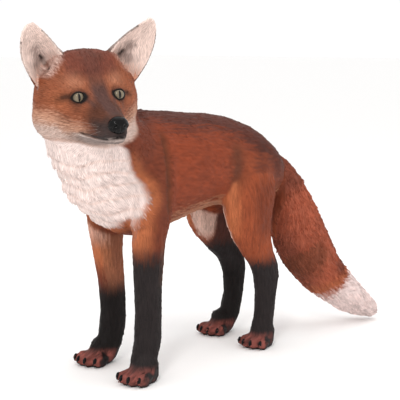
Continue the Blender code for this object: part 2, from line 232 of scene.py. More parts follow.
def in_fox(points):
    """From metres in the frame to millimetres in the fox's own axes."""
    return (points - SHOULDER) / MM


FLESH = [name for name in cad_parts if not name.startswith(("eye", "nose", "claw"))]
LEGS = ("fore_left", "fore_right", "hind_left", "hind_right")
REGIONS = ("head", "neck", "trunk", "tail", "ear_left", "ear_right", *LEGS)


def region_of(node):
    """Which region a solid belongs to; eyes, nose and jaw go with the head, claws with their leg."""
    if node.startswith("ear"):
        return REGIONS.index(node)
    for leg in LEGS:
        if all(word in node for word in leg.split("_")):
            return REGIONS.index(leg)
    for name in ("neck", "trunk", "tail"):
        if node.startswith(name):
            return REGIONS.index(name)
    return REGIONS.index("head")


def solids_tree():
    """A search tree over all the solids, with the region of each of its faces."""
    points = []
    faces = []
    owner = []
    for name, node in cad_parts.items():
        first = len(points)
        points += [vertex.co.copy() for vertex in node.data.vertices]
        for face in node.data.polygons:
            faces.append([first + i for i in face.vertices])
            owner.append(region_of(name))
    return BVHTree.FromPolygons(points, faces), owner


# The tail's middle line leaves out the part of its root that is inside the rump, in metres.
TAIL_ROOT_HIDDEN = 0.02
TAIL_STATIONS = 12


def tail_line():
    """Middles of the tail from root to tip, in metres."""
    names = ("tail_base", "tail_middle", "tail_tip")
    points = np.vstack([read(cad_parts[name].data.vertices, "co") for name in names])
    order = points[:, 1] - points[:, 2]
    edges = np.linspace(order.min() + TAIL_ROOT_HIDDEN, order.max(), TAIL_STATIONS)
    line = []
    for low, high in zip(edges, edges[1:]):
        band = points[(order >= low) & (order <= high)]
        line.append((band.min(axis=0) + band.max(axis=0)) / 2)
    return np.array(line)


TAIL_LINE = tail_line()


def along_tail(points):
    """Share of the tail's length, the tail's direction there, and the offset from its middle line in mm."""
    steps = np.diff(TAIL_LINE, axis=0)
    lengths = np.linalg.norm(steps, axis=1)
    starts = np.concatenate([[0], np.cumsum(lengths)])[:-1]
    best = np.full(len(points), 1e9)
    share = np.zeros(len(points))
    direction = np.zeros_like(points)
    offset = np.zeros_like(points)
    for start, step, length, before in zip(TAIL_LINE, steps, lengths, starts):
        t = np.clip((points - start) @ step / length**2, 0, 1)
        away = points - start - t[:, None] * step
        distance = np.linalg.norm(away, axis=1)
        near = distance < best
        best[near] = distance[near]
        share[near] = (before + t[near] * length) / lengths.sum()
        direction[near] = step / length
        offset[near] = away[near]
    return share, direction, offset / MM


# ---------------------------------------------------------------- settings


def size(name, default, description, low=0.0, high=20.0):
    """A setting in millimetres."""
    return FloatProperty(name=name, default=default, description=description, min=low, max=high, precision=2)


def colour(name, code, description):
    """A colour setting from an sRGB hex value."""
    return FloatVectorProperty(
        name=name, default=linear(code), description=description, subtype="COLOR", size=3, min=0, max=1
    )


class FoxSizes(bpy.types.PropertyGroup):
    voxel: size("Skin mesh", 2.2, "Spacing of the skin's mesh on the body, in mm", 1.5, 6)
    inset: size("Coat depth", 0.8, "How far the skin lies inside the solids where the fur is short, in mm")
    tail_inset: size("Brush depth", 2.6, "How far the skin lies inside the solids on the tail, in mm")
    relief: size("Fur relief", 0.22, "Depth of the combed relief in the moulded skin, in mm")
    lid: size("Eyelid", 1.5, "Thickness of the eyelids over the eyeballs, in mm")
    eye_wide: size("Eye opening", 10.3, "Half the width of the opening between the lids, in mm")
    eye_high: size("Upper lid", 7.6, "Height of the opening above its middle, in mm")
    eye_low: size("Lower lid", 6.9, "Depth of the opening below its middle, in mm")
    groove: size("Stroke spacing", 2.8, "Spacing of the engraved hair strokes, in mm", 0.5, 10)
    whiskers: BoolProperty(name="Whiskers", default=True, description="Add the nylon whiskers")


class FoxColours(bpy.types.PropertyGroup):
    back: colour("Back", "#52291f", "Dark maroon along the spine")
    flank: colour("Flank", "#823b23", "Red-brown of the sides")
    shoulder: colour("Shoulder", "#6a3220", "Brown of the neck and shoulder")
    thigh: colour("Thigh", "#8a4328", "Orange of the thighs")
    tan: colour("Tan", "#b36842", "Front edge of the thighs and fringe of the bib")
    patch: colour("Loin patch", "#56301f", "Olive-brown patch in front of the thighs")
    belly: colour("Belly", "#98664c", "Cream edge of the belly")
    bib: colour("Bib", "#e0cdc7", "Pinkish white of throat and chest")
    inner: colour("Inner thigh", "#d8b8aa", "Pale inside of the hind legs")
    boot: colour("Legs", "#231d1d", "Black of the lower legs")
    toe: colour("Toes", "#945249", "Red-brown of the toes")
    tail: colour("Tail", "#984f39", "Orange-brown of the tail")
    tail_dark: colour("Tail shade", "#4e2c25", "Root and lower edge of the tail")
    tail_tip: colour("Tail tip", "#d8c4c0", "Pinkish white of the tail tip")
    face: colour("Face", "#874c33", "Orange-brown of the face")
    brow: colour("Forehead", "#69372b", "Brown of the forehead")
    bridge: colour("Bridge", "#4a332f", "Mauve-brown of the bridge of the muzzle")
    cheek: colour("Cheek", "#b1846d", "Peach of the cheeks")
    muzzle: colour("Muzzle side", "#4c2c20", "Dark brown of the sides of the muzzle")
    pad: colour("Whisker pad", "#312928", "Dark grey of the whisker pads and upper lip")
    chin: colour("Chin", "#bdaaa2", "Greyish white of lips and chin")
    ear: colour("Ear inside", "#e4cdc3", "Pinkish grey inside the ears")
    ear_back: colour("Ear back", "#33231f", "Dark back of the ears")
    rim: colour("Rims", "#120d0c", "Eye rims, lip line and ear rims")
    iris: colour("Iris", "#7a6e5a", "Pale yellow-green of the iris")
    gloss: colour("Gloss black", "#0c0b0b", "Enamel of nose, claws and pupils")


# ---------------------------------------------------------------- materials


def join(tree, made, links):
    """Links a node's sockets, given as socket: (node, output)."""
    for key, (source, output) in links.items():
        tree.links.new(source.outputs[output], made.inputs[key])


def node(tree, kind, settings=None, links=None):
    """Adds a node; settings are its properties or socket values, links are as in join."""
    made = tree.nodes.new(kind)
    for key, value in (settings or {}).items():
        if isinstance(key, str) and hasattr(made, key):
            setattr(made, key, value)
        else:
            made.inputs[key].default_value = value
    join(tree, made, links or {})
    return made


def opaque(shade, gain=1.0):
    """A colour made lighter or darker, with its alpha."""
    return (*[min(1, part * gain) for part in shade], 1)


def new_material(name, constants):
    """A material with its Principled shader's constant sockets set."""
    made = bpy.data.materials.new(name)
    made.use_nodes = True
    shader = made.node_tree.nodes["Principled BSDF"]
    for key, value in constants.items():
        shader.inputs[key].default_value = value
    return made, made.node_tree, shader


def painted_resin():
    """Polyester resin cast in a rubber mould, airbrushed and brushed with flat acrylic, nearly matt.

    The mould carries combed hair strokes; the paint carries painted shade in them and a painted highlight on
    their ridges."""
    if "painted_cast_resin" in bpy.data.materials:
        return bpy.data.materials["painted_cast_resin"]
    sizes = bpy.context.scene.fox_sizes
    constants = {"Roughness": 0.6, "IOR": 1.5, "Specular IOR Level": 0.14}
    made, tree, shader = new_material("painted_cast_resin", constants)
    paint = node(tree, "ShaderNodeAttribute", {"attribute_name": "paint"})
    across = node(tree, "ShaderNodeAttribute", {"attribute_name": "across"})
    place = {"Vector": (node(tree, "ShaderNodeTexCoord"), "Object")}
    # Engraved strokes run along the lie of the coat: bands across it, broken into short lengths.
    per_metre = 1 / (sizes.groove * MM)
    bands = {"gabor_type": "3D", "Scale": per_metre / 3, "Frequency": 3.0, "Anisotropy": 0.9}
    strokes = node(tree, "ShaderNodeTexGabor", bands, {**place, "Orientation": (across, "Vector")})
    # Marks of the paint brush's bristles, drawn coarser than real ones, 1.6 mm apart, so that they show.
    marks = {"Scale": 1 / (1.6 * MM), "Detail": 2.0, "Roughness": 0.6}
    grain = node(tree, "ShaderNodeTexNoise", marks, place)
    # Airbrushed paint drifts in soft clouds about 20 mm across.
    drift = {"Scale": 1 / (22 * MM), "Detail": 3.0, "Roughness": 0.55}
    clouds = node(tree, "ShaderNodeTexNoise", drift, place)
    # The three patterns add up to a gain on the paint: painted shade in the strokes' grooves and a painted
    # highlight on their ridges, with the brush marks and the airbrushed clouds; strokes and marks also raise
    # the surface.
    by = "MULTIPLY_ADD"
    fine = node(tree, "ShaderNodeMath", {"operation": "MULTIPLY", 1: 0.7}, {0: (strokes, "Value")})
    soft = node(tree, "ShaderNodeMath", {"operation": by, 1: 0.35}, {0: (clouds, "Fac"), 2: (fine, 0)})
    level = node(tree, "ShaderNodeMath", {"operation": by, 1: 0.25}, {0: (grain, "Fac"), 2: (soft, 0)})
    gain = node(tree, "ShaderNodeMath", {"operation": "ADD", 1: 0.35}, {0: (level, 0)})
    scaled = {0: (paint, "Color"), "Scale": (gain, 0)}
    tone = node(tree, "ShaderNodeVectorMath", {"operation": "SCALE"}, scaled)
    raised = {0: (grain, "Fac"), 2: (strokes, "Value")}
    height = node(tree, "ShaderNodeMath", {"operation": by, 1: 0.25}, raised)
    bump = node(tree, "ShaderNodeBump", {"Strength": 0.6, "Distance": 0.35 * MM}, {"Height": (height, 0)})
    gloss = node(tree, "ShaderNodeMapRange", {"To Min": 0.5, "To Max": 0.7}, {"Value": (clouds, "Fac")})
    join(tree, shader, {"Base Color": (tone, 0), "Normal": (bump, 0), "Roughness": (gloss, 0)})
    return made


def black_enamel():
    """Two coats of gloss black enamel over the resin, which show as a sharp highlight on a pebbled skin."""
    if "gloss_black_enamel" in bpy.data.materials:
        return bpy.data.materials["gloss_black_enamel"]
    black = bpy.context.scene.fox_colours.gloss
    constants = {"Roughness": 0.16, "IOR": 1.52, "Specular IOR Level": 0.12}
    made, tree, shader = new_material("gloss_black_enamel", constants)
    place = {"Vector": (node(tree, "ShaderNodeTexCoord"), "Object")}
    pebbles = node(tree, "ShaderNodeTexVoronoi", {"Scale": 1 / (1.4 * MM)}, place)
    wear = node(tree, "ShaderNodeTexNoise", {"Scale": 1 / (4 * MM), "Detail": 3.0}, place)
    ends = {"data_type": "RGBA", 6: opaque(black), 7: opaque(black, 1.6)}
    tone = node(tree, "ShaderNodeMix", ends, {0: (wear, "Fac")})
    rough = node(tree, "ShaderNodeMapRange", {"To Min": 0.07, "To Max": 0.14}, {"Value": (wear, "Fac")})
    skin = {"Strength": 0.12, "Distance": 0.1 * MM}
    bump = node(tree, "ShaderNodeBump", skin, {"Height": (pebbles, "Distance")})
    join(tree, shader, {"Base Color": (tone, 2), "Roughness": (rough, 0), "Normal": (bump, 0)})
    return made


# The pupil's half width and half height, as shares of the iris's radius.
PUPIL_WIDE = 0.22
PUPIL_TALL = 0.74
# The iris's brightness at shares of its radius: a dark edge round a paler ring.
IRIS_RINGS = ((0.8, 0.75), (0.92, 0.3), (1.0, 0.02))


def painted_eye():
    """A painted iris with a slit pupil under poured clear resin, wet-looking and very smooth."""
    colours = bpy.context.scene.fox_colours
    constants = {"Roughness": 0.05, "IOR": 1.5, "Specular IOR Level": 0.3}
    made, tree, shader = new_material("painted_eye_under_clear_resin", constants)
    gaze = node(tree, "ShaderNodeAttribute", {"attribute_name": "gaze"})
    parts = node(tree, "ShaderNodeSeparateXYZ", links={0: (gaze, "Vector")})
    radius = node(tree, "ShaderNodeVectorMath", {"operation": "LENGTH"}, {0: (gaze, "Vector")})
    # Radial fibres of the iris: noise stretched along the radius.
    angle = node(tree, "ShaderNodeMath", {"operation": "ARCTAN2"}, {0: (parts, "Y"), 1: (parts, "X")})
    spokes = node(tree, "ShaderNodeCombineXYZ", links={"X": (angle, 0), "Y": (radius, "Value")})
    fibre = node(tree, "ShaderNodeTexNoise", {"Scale": 5.0, "Detail": 4.0}, {"Vector": (spokes, 0)})
    rings = node(tree, "ShaderNodeValToRGB", links={"Fac": (radius, "Value")})
    stops = rings.color_ramp.elements
    stops[0].position = 0.0
    stops[0].color = opaque(colours.iris, 0.8)
    stops[1].position = 0.55
    stops[1].color = opaque(colours.iris, 1.1)
    for position, share in IRIS_RINGS:
        stops.new(position).color = opaque(colours.iris, share)
    vein = node(tree, "ShaderNodeMapRange", {"To Min": 0.7, "To Max": 1.25}, {"Value": (fibre, "Fac")})
    veined = {0: (rings, "Color"), "Scale": (vein, 0)}
    iris = node(tree, "ShaderNodeVectorMath", {"operation": "SCALE"}, veined)
    # The pupil is an upright slit: narrow across, tall up.
    wide = node(tree, "ShaderNodeMath", {"operation": "DIVIDE", 1: PUPIL_WIDE}, {0: (parts, "X")})
    tall = node(tree, "ShaderNodeMath", {"operation": "DIVIDE", 1: PUPIL_TALL}, {0: (parts, "Y")})
    slit = node(tree, "ShaderNodeCombineXYZ", links={"X": (wide, 0), "Y": (tall, 0)})
    reach = node(tree, "ShaderNodeVectorMath", {"operation": "LENGTH"}, {0: (slit, 0)})
    edge = {"From Min": 0.8, "From Max": 1.1}
    hole = node(tree, "ShaderNodeMapRange", edge, {"Value": (reach, "Value")})
    pupil = {"data_type": "RGBA", 6: opaque(colours.gloss)}
    tone = node(tree, "ShaderNodeMix", pupil, {0: (hole, 0), 7: (iris, 0)})
    join(tree, shader, {"Base Color": (tone, 2)})
    return made


def nylon():
    """Drawn nylon bristle: pale, half clear and smooth along its length."""
    made, tree, shader = new_material("drawn_nylon_bristle", {"Roughness": 0.35, "IOR": 1.53})
    place = {"Vector": (node(tree, "ShaderNodeTexCoord"), "Object")}
    drift = node(tree, "ShaderNodeTexNoise", {"Scale": 1 / (9 * MM)}, place)
    ends = {"data_type": "RGBA", 6: opaque(linear("#6e5d56")), 7: opaque(linear("#a4948c"))}
    tone = node(tree, "ShaderNodeMix", ends, {0: (drift, "Fac")})
    join(tree, shader, {"Base Color": (tone, 2)})
    return made


def studio_paper():
    """Seamless background paper, matt, with a faint tooth drawn coarser than real so that it shows."""
    made, tree, shader = new_material("seamless_paper", {"Roughness": 0.9})
    place = {"Vector": (node(tree, "ShaderNodeTexCoord"), "Object")}
    # The tooth's lumps come 60 to the metre, about 17 mm apart.
    tooth = node(tree, "ShaderNodeTexNoise", {"Scale": 60.0, "Detail": 3.0}, place)
    ends = {"data_type": "RGBA", 6: opaque(linear("#fbfaf9")), 7: opaque(linear("#fdfcfb"))}
    tone = node(tree, "ShaderNodeMix", ends, {0: (tooth, "Fac")})
    join(tree, shader, {"Base Color": (tone, 2)})
    return made


# ---------------------------------------------------------------- the skin's shape


class Skin:
    """Arrays of the skin's mesh, with what each vertex needs to know about where it is."""

    def __init__(self, mesh):
        self.take(mesh)

    def take(self, mesh):
        """Starts again from a mesh whose vertices have changed in number."""
        self.mesh = mesh
        self.places = read(mesh.vertices, "co")
        self.edges = read(mesh.edges, "vertices", 2, np.int64)
        self.locate()

    def locate(self):
        """Region weights, softened over the neighbours, and each vertex's place in the three sets of axes."""
        tree, owner = solids_tree()
        label = np.zeros((len(self.places), len(REGIONS)))
        for i, place in enumerate(self.places):
            label[i, owner[tree.find_nearest(Vector(place))[2]]] = 1
        label = self.softened(label, 4)
        self.region = dict(zip(REGIONS, label.T))
        self.region["ear"] = self.region["ear_left"] + self.region["ear_right"]
        self.region["fore"] = self.region["fore_left"] + self.region["fore_right"]
        self.region["hind"] = self.region["hind_left"] + self.region["hind_right"]
        self.refresh()

    def refresh(self):
        """Writes the places to the mesh and works out again what depends on them."""
        write_places(self.mesh, self.places)
        self.normals = read(self.mesh.vertices, "normal")
        self.x, self.y, self.z = in_fox(self.places).T
        self.head = in_head(self.places)
        self.hx, self.hy, self.hz = self.head.T
        self.facing = self.normals @ HEAD_TURN
        self.tail_share, self.tail_way, self.tail_off = along_tail(self.places)

    def neighbours(self, values):
        """For each vertex, the mean of its neighbours' values."""
        count = len(self.places)
        first, second = self.edges.T
        total = np.empty((count, values.shape[1]))
        for axis in range(values.shape[1]):
            total[:, axis] = np.bincount(first, values[second, axis], count)
            total[:, axis] += np.bincount(second, values[first, axis], count)
        return total / np.maximum(np.bincount(self.edges.ravel(), minlength=count), 1)[:, None]

    def push(self, amount):
        """Moves the skin out along its normals by an amount in millimetres for each vertex."""
        self.places = self.places + self.normals * (amount * MM)[:, None]
        self.refresh()

    def softened(self, values, rounds):
        """Values spread over their neighbours, a little further each round."""
        for _ in range(rounds):
            values = 0.4 * values + 0.6 * self.neighbours(values)
        return values

    def smooth(self, rounds, strength):
        """Smooths the skin and swells it back each round, so that it keeps its size."""
        for _ in range(rounds):
            for factor in (0.6, -0.62):
                move = self.neighbours(self.places) - self.places
                self.places = self.places + factor * strength[:, None] * move
        self.refresh()


# How far each solid swells to meet its neighbours, in mm.
SWELL = 0.6


def welded_solids():
    """All the solids in one mesh, each closed and a little swollen, so that the cuts between them vanish."""
    work = bmesh.new()
    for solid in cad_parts.values():
        part = bmesh.new()
        part.from_mesh(solid.data)
        bmesh.ops.remove_doubles(part, verts=part.verts, dist=0.00001)
        part.normal_update()
        for vertex in part.verts:
            vertex.co += vertex.normal * (SWELL * MM)
        carrier = bpy.data.meshes.new("part")
        part.to_mesh(carrier)
        part.free()
        work.from_mesh(carrier)
    mesh = bpy.data.meshes.new("solids")
    work.to_mesh(mesh)
    work.free()
    return mesh


def drawn_back(skin):
    """Brings the smoothed skin back to the solids in broad sweeps, which leaves out their facets."""
    tree = solids_tree()[0]
    offset = np.array([tree.find_nearest(Vector(place))[0] for place in skin.places]) - skin.places
    sharp = skin.softened(offset, 3)
    broad = skin.softened(sharp, 45)
    closer = skin.softened(sharp, 10)
    ear = ramp(skin.region["ear"], 0.1, 0.6)[:, None]
    head = ramp(skin.region["head"], 0.1, 0.9)[:, None]
    offset = broad * (1 - head) + closer * head
    skin.places = skin.places + offset * (1 - ear) + sharp * ear
    skin.refresh()


def largest_island(mesh):
    """The mesh without the small closed bubbles that the welding leaves inside it."""
    count = len(mesh.vertices)
    first, second = read(mesh.edges, "vertices", 2, np.int64).T
    label = np.arange(count)
    while True:
        lowest = label.copy()
        np.minimum.at(lowest, first, label[second])
        np.minimum.at(lowest, second, label[first])
        lowest = lowest[lowest]
        if (lowest == label).all():
            break
        label = lowest
    keep = label == np.bincount(label).argmax()
    work = bmesh.new()
    work.from_mesh(mesh)
    lost = [vertex for vertex, kept in zip(work.verts, keep) if not kept]
    bmesh.ops.delete(work, geom=lost, context="VERTS")
    work.to_mesh(mesh)
    work.free()
    return mesh


def refined(mesh, chosen):
    """Halves the mesh's spacing on the faces whose vertices are all chosen."""
    work = bmesh.new()
    work.from_mesh(mesh)
    edges = set()
    for face in work.faces:
        if all(chosen[vertex.index] for vertex in face.verts):
            edges.update(face.edges)
    bmesh.ops.subdivide_edges(work, edges=list(edges), cuts=1, use_grid_fill=True)
    work.to_mesh(mesh)
    work.free()
    return mesh


# The eye looks from its ball's middle through this point, in the head's axes.
EYE_AIM = np.array([34.0, -4.5, 2.0])


def eye_axes(side):
    """Centre, outward gaze, outer-corner direction and upward direction of an eye, in the head's axes."""
    centre = HEAD_EYE * (side, 1, 1)
    gaze = unit((EYE_AIM - HEAD_EYE) * (side, 1, 1))
    out = unit(np.array([side, 0, 0]) - gaze * gaze[0] * side)
    up = np.cross(gaze, out) * side
    if up[2] < 0:
        up = -up
    return centre, gaze, out, up


# The edge of an eye's opening is a rounded diamond: these powers shape it, and this many mm scale it.
LID_POWER_HIGH = 1.5
LID_POWER_WIDE = 2.2
LID_SCALE = 6
FAR_FROM_EYE = 40


def eye_opening(skin, side):
    """Three values for each vertex, in mm: how far outside the lids' edge it is, which is negative inside
    the opening, how far from the eyeball's middle, and how far above it."""
    sizes = bpy.context.scene.fox_sizes
    centre, gaze, out, up = eye_axes(side)
    away = skin.head - centre
    far = np.linalg.norm(away, axis=1)
    on_ball = away / far[:, None] * EYE_RADIUS
    u = on_ball @ out
    v = on_ball @ up
    half = np.where(u > 0, sizes.eye_wide, sizes.eye_wide * 1.1)
    tall = np.where(v > 0, sizes.eye_high, sizes.eye_low)
    edge = ((np.abs(v) / tall) ** LID_POWER_HIGH + np.abs(u / half) ** LID_POWER_WIDE - 1) * LID_SCALE
    edge += np.maximum(far - EYE_RADIUS - 3, 0)
    edge[(away @ gaze < 0) | (far > FAR_FROM_EYE)] = FAR_FROM_EYE
    return edge, far, v


def beside_lids(skin):
    """How far each vertex is outside the edge of the nearer eye's opening, in mm."""
    return np.minimum(eye_opening(skin, 1)[0], eye_opening(skin, -1)[0])


def shape_eyes(skin):
    """Opens the lids over each eyeball, with a rounded rim and a fold above it."""
    sizes = bpy.context.scene.fox_sizes
    for side in (1, -1):
        edge, far, v = eye_opening(skin, side)
        centre = HEAD_EYE * (side, 1, 1)
        # The rim is a quarter round as thick as the lid; behind it the skin passes under the eyeball.
        rim = EYE_RADIUS + sizes.lid * np.sqrt(np.clip((edge + 1.0) / 2.0, 0, 1))
        inside = EYE_RADIUS - 3.0
        wanted = np.where(edge < -1.0, inside, rim)
        share = 1 - ramp(edge, 2.0, 9.0)
        fold = -0.9 * hill(edge - 5.5, 1.3) * (v > 0)
        new = far + (wanted - far) * share + fold
        near = (edge < 9.0) & (far < 26)
        direction = (skin.head - centre) / far[:, None]
        moved = centre + direction * new[:, None]
        places = skin.places.copy()
        places[near] = from_head(moved[near])
        skin.places = places
        skin.refresh()


# The line of the mouth from its right corner to the middle of the lips, in the head's axes.
MOUTH = (
    (-33, -8, -51.5),
    (-29, -17, -55),
    (-23, -32, -57),
    (-17, -52, -56),
    (-12, -66, -53),
    (-7, -76, -50.5),
    (0, -80, -49.5),
)
# The mouth's height at distances ahead of the eyes.
LIP_AHEAD = [-y for x, y, z in MOUTH]
LIP_LEVELS = [z for x, y, z in MOUTH]


def mouth_line():
    """The line of the mouth from corner to corner."""
    return [*MOUTH, *[(-x, y, z) for x, y, z in MOUTH[-2::-1]]]


def shape_face(skin):
    """Mouth, muzzle, brows and cheeks."""
    head = skin.region["head"]
    side = np.abs(skin.hx)
    at = np.column_stack([side, skin.hy, skin.hz])

    def near(x, y, z, width):
        return hill(np.linalg.norm(at - (x, y, z), axis=1), width)

    # Whisker pads and brows stand out, the sides of the bridge and the forehead sink, the chin stands out.
    amount = 1.3 * near(16, -56, -40, 12)
    amount += 1.2 * near(31, 3, 19, 9)
    amount -= 1.6 * near(18, -22, -4, 10)
    amount -= 0.9 * near(14, 14, 30, 14)
    amount += 1.0 * near(0, -78, -52, 8)
    # A soft ledge where the cheek's fur ends over the neck.
    ledge = skin.hy - (52 + 8 * np.sin(skin.hz / 9))
    amount += 1.4 * hill(ledge, 8) * ramp(side, 45, 60)
    lip = to_segments(skin.head, mouth_line())
    amount -= 2.4 * hill(lip, 1.7)
    amount += 0.7 * hill(lip - 4.5, 2.2) * ramp(-skin.hy, -5, 15)
    # The groove under the nose.
    amount -= 1.0 * hill(skin.hx, 1.3) * ramp(-skin.hy, 68, 74) * ramp(-skin.hz, 36, 42) * (skin.hz > -50)
    skin.push(amount * head)


# Half the nose pad's width, depth and height.
NOSE_HALF = np.array([16.5, 11.5, 14.0])
NOSE_MIDDLE = HEAD_EYE * (0, 1, 1) + NOSE_BELOW_EYES


def clear_of_nose(skin):
    """Draws the skin in under the nose pad, which then stands proud of it."""
    away = skin.head - NOSE_MIDDLE
    reach = np.linalg.norm(away / NOSE_HALF, axis=1)
    wanted = np.where(reach < 1.04, 0.7, reach - 0.2 * (1 - ramp(reach, 1.04, 1.3)))
    near = reach < 1.3
    skin.places[near] = from_head((NOSE_MIDDLE + away * (wanted / reach)[:, None])[near])
    skin.refresh()


# The left ear's middle line, in the head's axes.
EAR_ROOT = (50, 40, 14)
EAR_TIP = (103, 25, 112)


def inside_ear(skin):
    """1 on the hollow front of the ears, 0 on their backs; and the share of the way up the ear."""
    hollow = np.zeros(len(skin.places))
    height = np.zeros(len(skin.places))
    for side, name in ((1, "ear_left"), (-1, "ear_right")):
        root = np.array(EAR_ROOT) * (side, 1, 1)
        axis = np.array(EAR_TIP) * (side, 1, 1) - root
        share = (skin.head - root) @ axis / (axis @ axis)
        toward = root + share[:, None] * axis - skin.head
        inward = (unit(toward) * skin.facing).sum(axis=1)
        weight = ramp(skin.region[name], 0.2, 0.8)
        tip = ramp(-skin.facing[:, 1], -0.4, 0.0) * ramp(share, 0.8, 0.93)
        hollow += np.maximum(ramp(inward, -0.25, 0.35), tip) * weight
        height += share * weight
    return hollow, height


# The left ear's canal, and the dark smudge round it.
EAR_CANAL = ((71, 65, 60), (67, 67, 56), (61, 66, 46), (61, 50, 40))
EAR_SMUDGE = ((80, 56, 70), (72, 64, 56), (79, 59, 47))


def both_sides(points, line):
    """Distance from a line and from its mirror image across the middle of the head."""
    return np.minimum(to_segments(points, line), to_segments(points * (-1, 1, 1), line))


def toward_cup(skin):
    """How far each vertex is past the line on the skull where the russet ends and an ear's cup begins."""
    return 0.81 * (np.abs(skin.hx) - 56) + 0.58 * (skin.hz - 46)


def shape_ears(skin):
    """The canal at the bottom of each ear's cup, the skull falling away before it, and a tuft beside it."""
    at = skin.head * (np.sign(skin.hx)[:, None] * (1, 0, 0) + (0, 1, 1))
    head = skin.region["head"]
    amount = -2.6 * hill(both_sides(skin.head, EAR_CANAL), 2.6)
    fall = 6.5 * ramp(toward_cup(skin), -3, 9) * ramp(skin.hz, 22, 36) * ramp(-skin.hy, -70, -58)
    amount -= fall * head
    amount += 4.5 * hill(np.linalg.norm(at - (46, 44, 56), axis=1), 12) * (head + skin.region["ear"])
    skin.push(amount)
    around = hill(np.linalg.norm(at - (58, 48, 46), axis=1), 22)
    skin.smooth(10, around)


# Heights of the ruff's rolls above the floor, from throat to chest.
RUFF_ROLLS = (376, 356, 337, 316, 296, 277, 258)


def ruff_wave(skin):
    """The low wavy rolls of the ruff across the chest: 1 on their crests, about -1 in their troughs."""
    wave = skin.z + 6 * np.sin(skin.x / 15) + 4 * lumps(in_fox(skin.places), 24, 3)
    height = np.zeros(len(wave))
    for level in RUFF_ROLLS:
        height += hill(wave - level, 5.5) - hill(wave - level + 9.5, 3.2)
    return height


def past_crease(skin):
    """How far each vertex is behind the wavy crease at the back of the shoulder."""
    return skin.y - (39 + 5 * np.sin((skin.z - 350) / 34))


def shoulder_crease(skin, width, foot):
    """1 in the crease at the back of each shoulder, which fades out at its foot and over the back."""
    sides = ramp(np.abs(skin.x), 45, 62)
    return hill(past_crease(skin), width) * sides * ramp(skin.z, foot, 285) * ramp(-skin.z, -425, -400)


# The fold where the left flank meets the front edge of the thigh.
FLANK_FOLD = ((62, 214, 262), (66, 232, 300), (62, 250, 335))


def shape_body(skin):
    """Shoulder crease with the swell behind it, chest ruff, and the fold in front of each thigh."""
    trunk = skin.region["trunk"] + skin.region["neck"] + skin.region["fore"]
    sides = ramp(np.abs(skin.x), 45, 62)
    amount = -2.8 * shoulder_crease(skin, 5, 262) * trunk
    amount += 1.2 * hill(past_crease(skin) - 13, 9) * sides * ramp(skin.z, 262, 300) * trunk
    front = ramp(-skin.normals[:, 1], 0.1, 0.5) * ramp(-skin.y, 8, 25)
    amount += 1.6 * ruff_wave(skin) * front * trunk
    for side in (1, -1):
        fold = to_segments(in_fox(skin.places) * (side, 1, 1), FLANK_FOLD)
        amount -= 1.4 * hill(fold, 6)
    skin.push(amount)


def lie_of_coat(skin):
    """The direction in which the fur lies at each vertex, along the skin."""
    region = skin.region
    lie = np.zeros_like(skin.places)
    side = np.abs(skin.x)
    flank = np.column_stack([0 * side, np.ones(len(side)), -0.15 - 0.5 * ramp(side, 30, 65)])
    lie += unit(flank) * region["trunk"][:, None]
    lie += np.array([0, 0.75, -0.65]) * region["neck"][:, None]
    front = ramp(-skin.normals[:, 1], 0.2, 0.7) * (region["trunk"] + region["neck"])
    lie += np.column_stack([skin.x / 90, 0.1 + 0 * side, -1.2 + 0 * side]) * front[:, None]
    for name in ("fore", "hind"):
        lie += np.array([0, 0.18, -1.0]) * region[name][:, None]
    toes = ramp(-skin.z, -34, -12)
    lie += np.array([0, -1.6, -0.2]) * (toes * (region["fore"] + region["hind"]))[:, None]
    fan = np.column_stack([skin.hx / 55, 1 + 0 * side, (skin.hz + 30) / 55])
    fan[:, 2] -= 1.1 * ramp(-skin.hz, 20, 50) * ramp(skin.hy, -10, 30)
    lie += unit(fan) @ HEAD_TURN.T * region["head"][:, None]
    for sign, name in ((1, "ear_left"), (-1, "ear_right")):
        axis = (np.array(EAR_TIP) - EAR_ROOT) * (sign, 1, 1)
        lie += unit(HEAD_TURN @ axis) * region[name][:, None]
    lie += skin.tail_way * region["tail"][:, None]
    for _ in range(6):
        lie = lie - skin.normals * (lie * skin.normals).sum(axis=1)[:, None]
        lie = unit(0.5 * unit(lie) + 0.5 * skin.neighbours(lie))
    return lie


# How strongly a stroke keeps to the lie of the coat, how little spreads across it, and how long it grows.
COMB_POWER = 6
COMB_LEAK = 0.004
COMB_ROUNDS = 10
COMB_SEED = 11


def combed(skin, lie):
    """Random values drawn out along the lie of the coat into strokes, with mean 0 and spread 1."""
    first, second = skin.edges.T
    step = unit(skin.places[second] - skin.places[first])
    weight_first = np.abs((step * lie[first]).sum(axis=1)) ** COMB_POWER + COMB_LEAK
    weight_second = np.abs((step * lie[second]).sum(axis=1)) ** COMB_POWER + COMB_LEAK
    count = len(skin.places)
    total = np.bincount(first, weight_first, count) + np.bincount(second, weight_second, count)
    values = np.random.default_rng(COMB_SEED).standard_normal(count)
    for _ in range(COMB_ROUNDS):
        pulled = np.bincount(first, weight_first * values[second], count)
        pulled += np.bincount(second, weight_second * values[first], count)
        values = 0.45 * values + 0.55 * pulled / total
    return (values - values.mean()) / values.std()


def coat_depth(skin):
    """How far the skin lies inside the solids, in mm."""
    sizes = bpy.context.scene.fox_sizes
    depth = np.full(len(skin.places), sizes.inset)
    depth += (sizes.tail_inset - sizes.inset) * ramp(skin.region["tail"], 0.2, 0.9)
    depth += 0.8 * (skin.region["neck"] + ramp(-skin.normals[:, 1], 0.2, 0.7) * skin.region["trunk"])
    depth -= 0.4 * (skin.region["head"] + skin.region["fore"] + skin.region["hind"])
    return np.where(skin.region["ear"] > 0.5, 0.1, depth)


# The mesh is finer on the head ahead of this place, and finer again this near the eyes and the mouth, in mm.
FINE_HEAD = 62
FINE_EYE = 21
FINE_MOUTH = 6


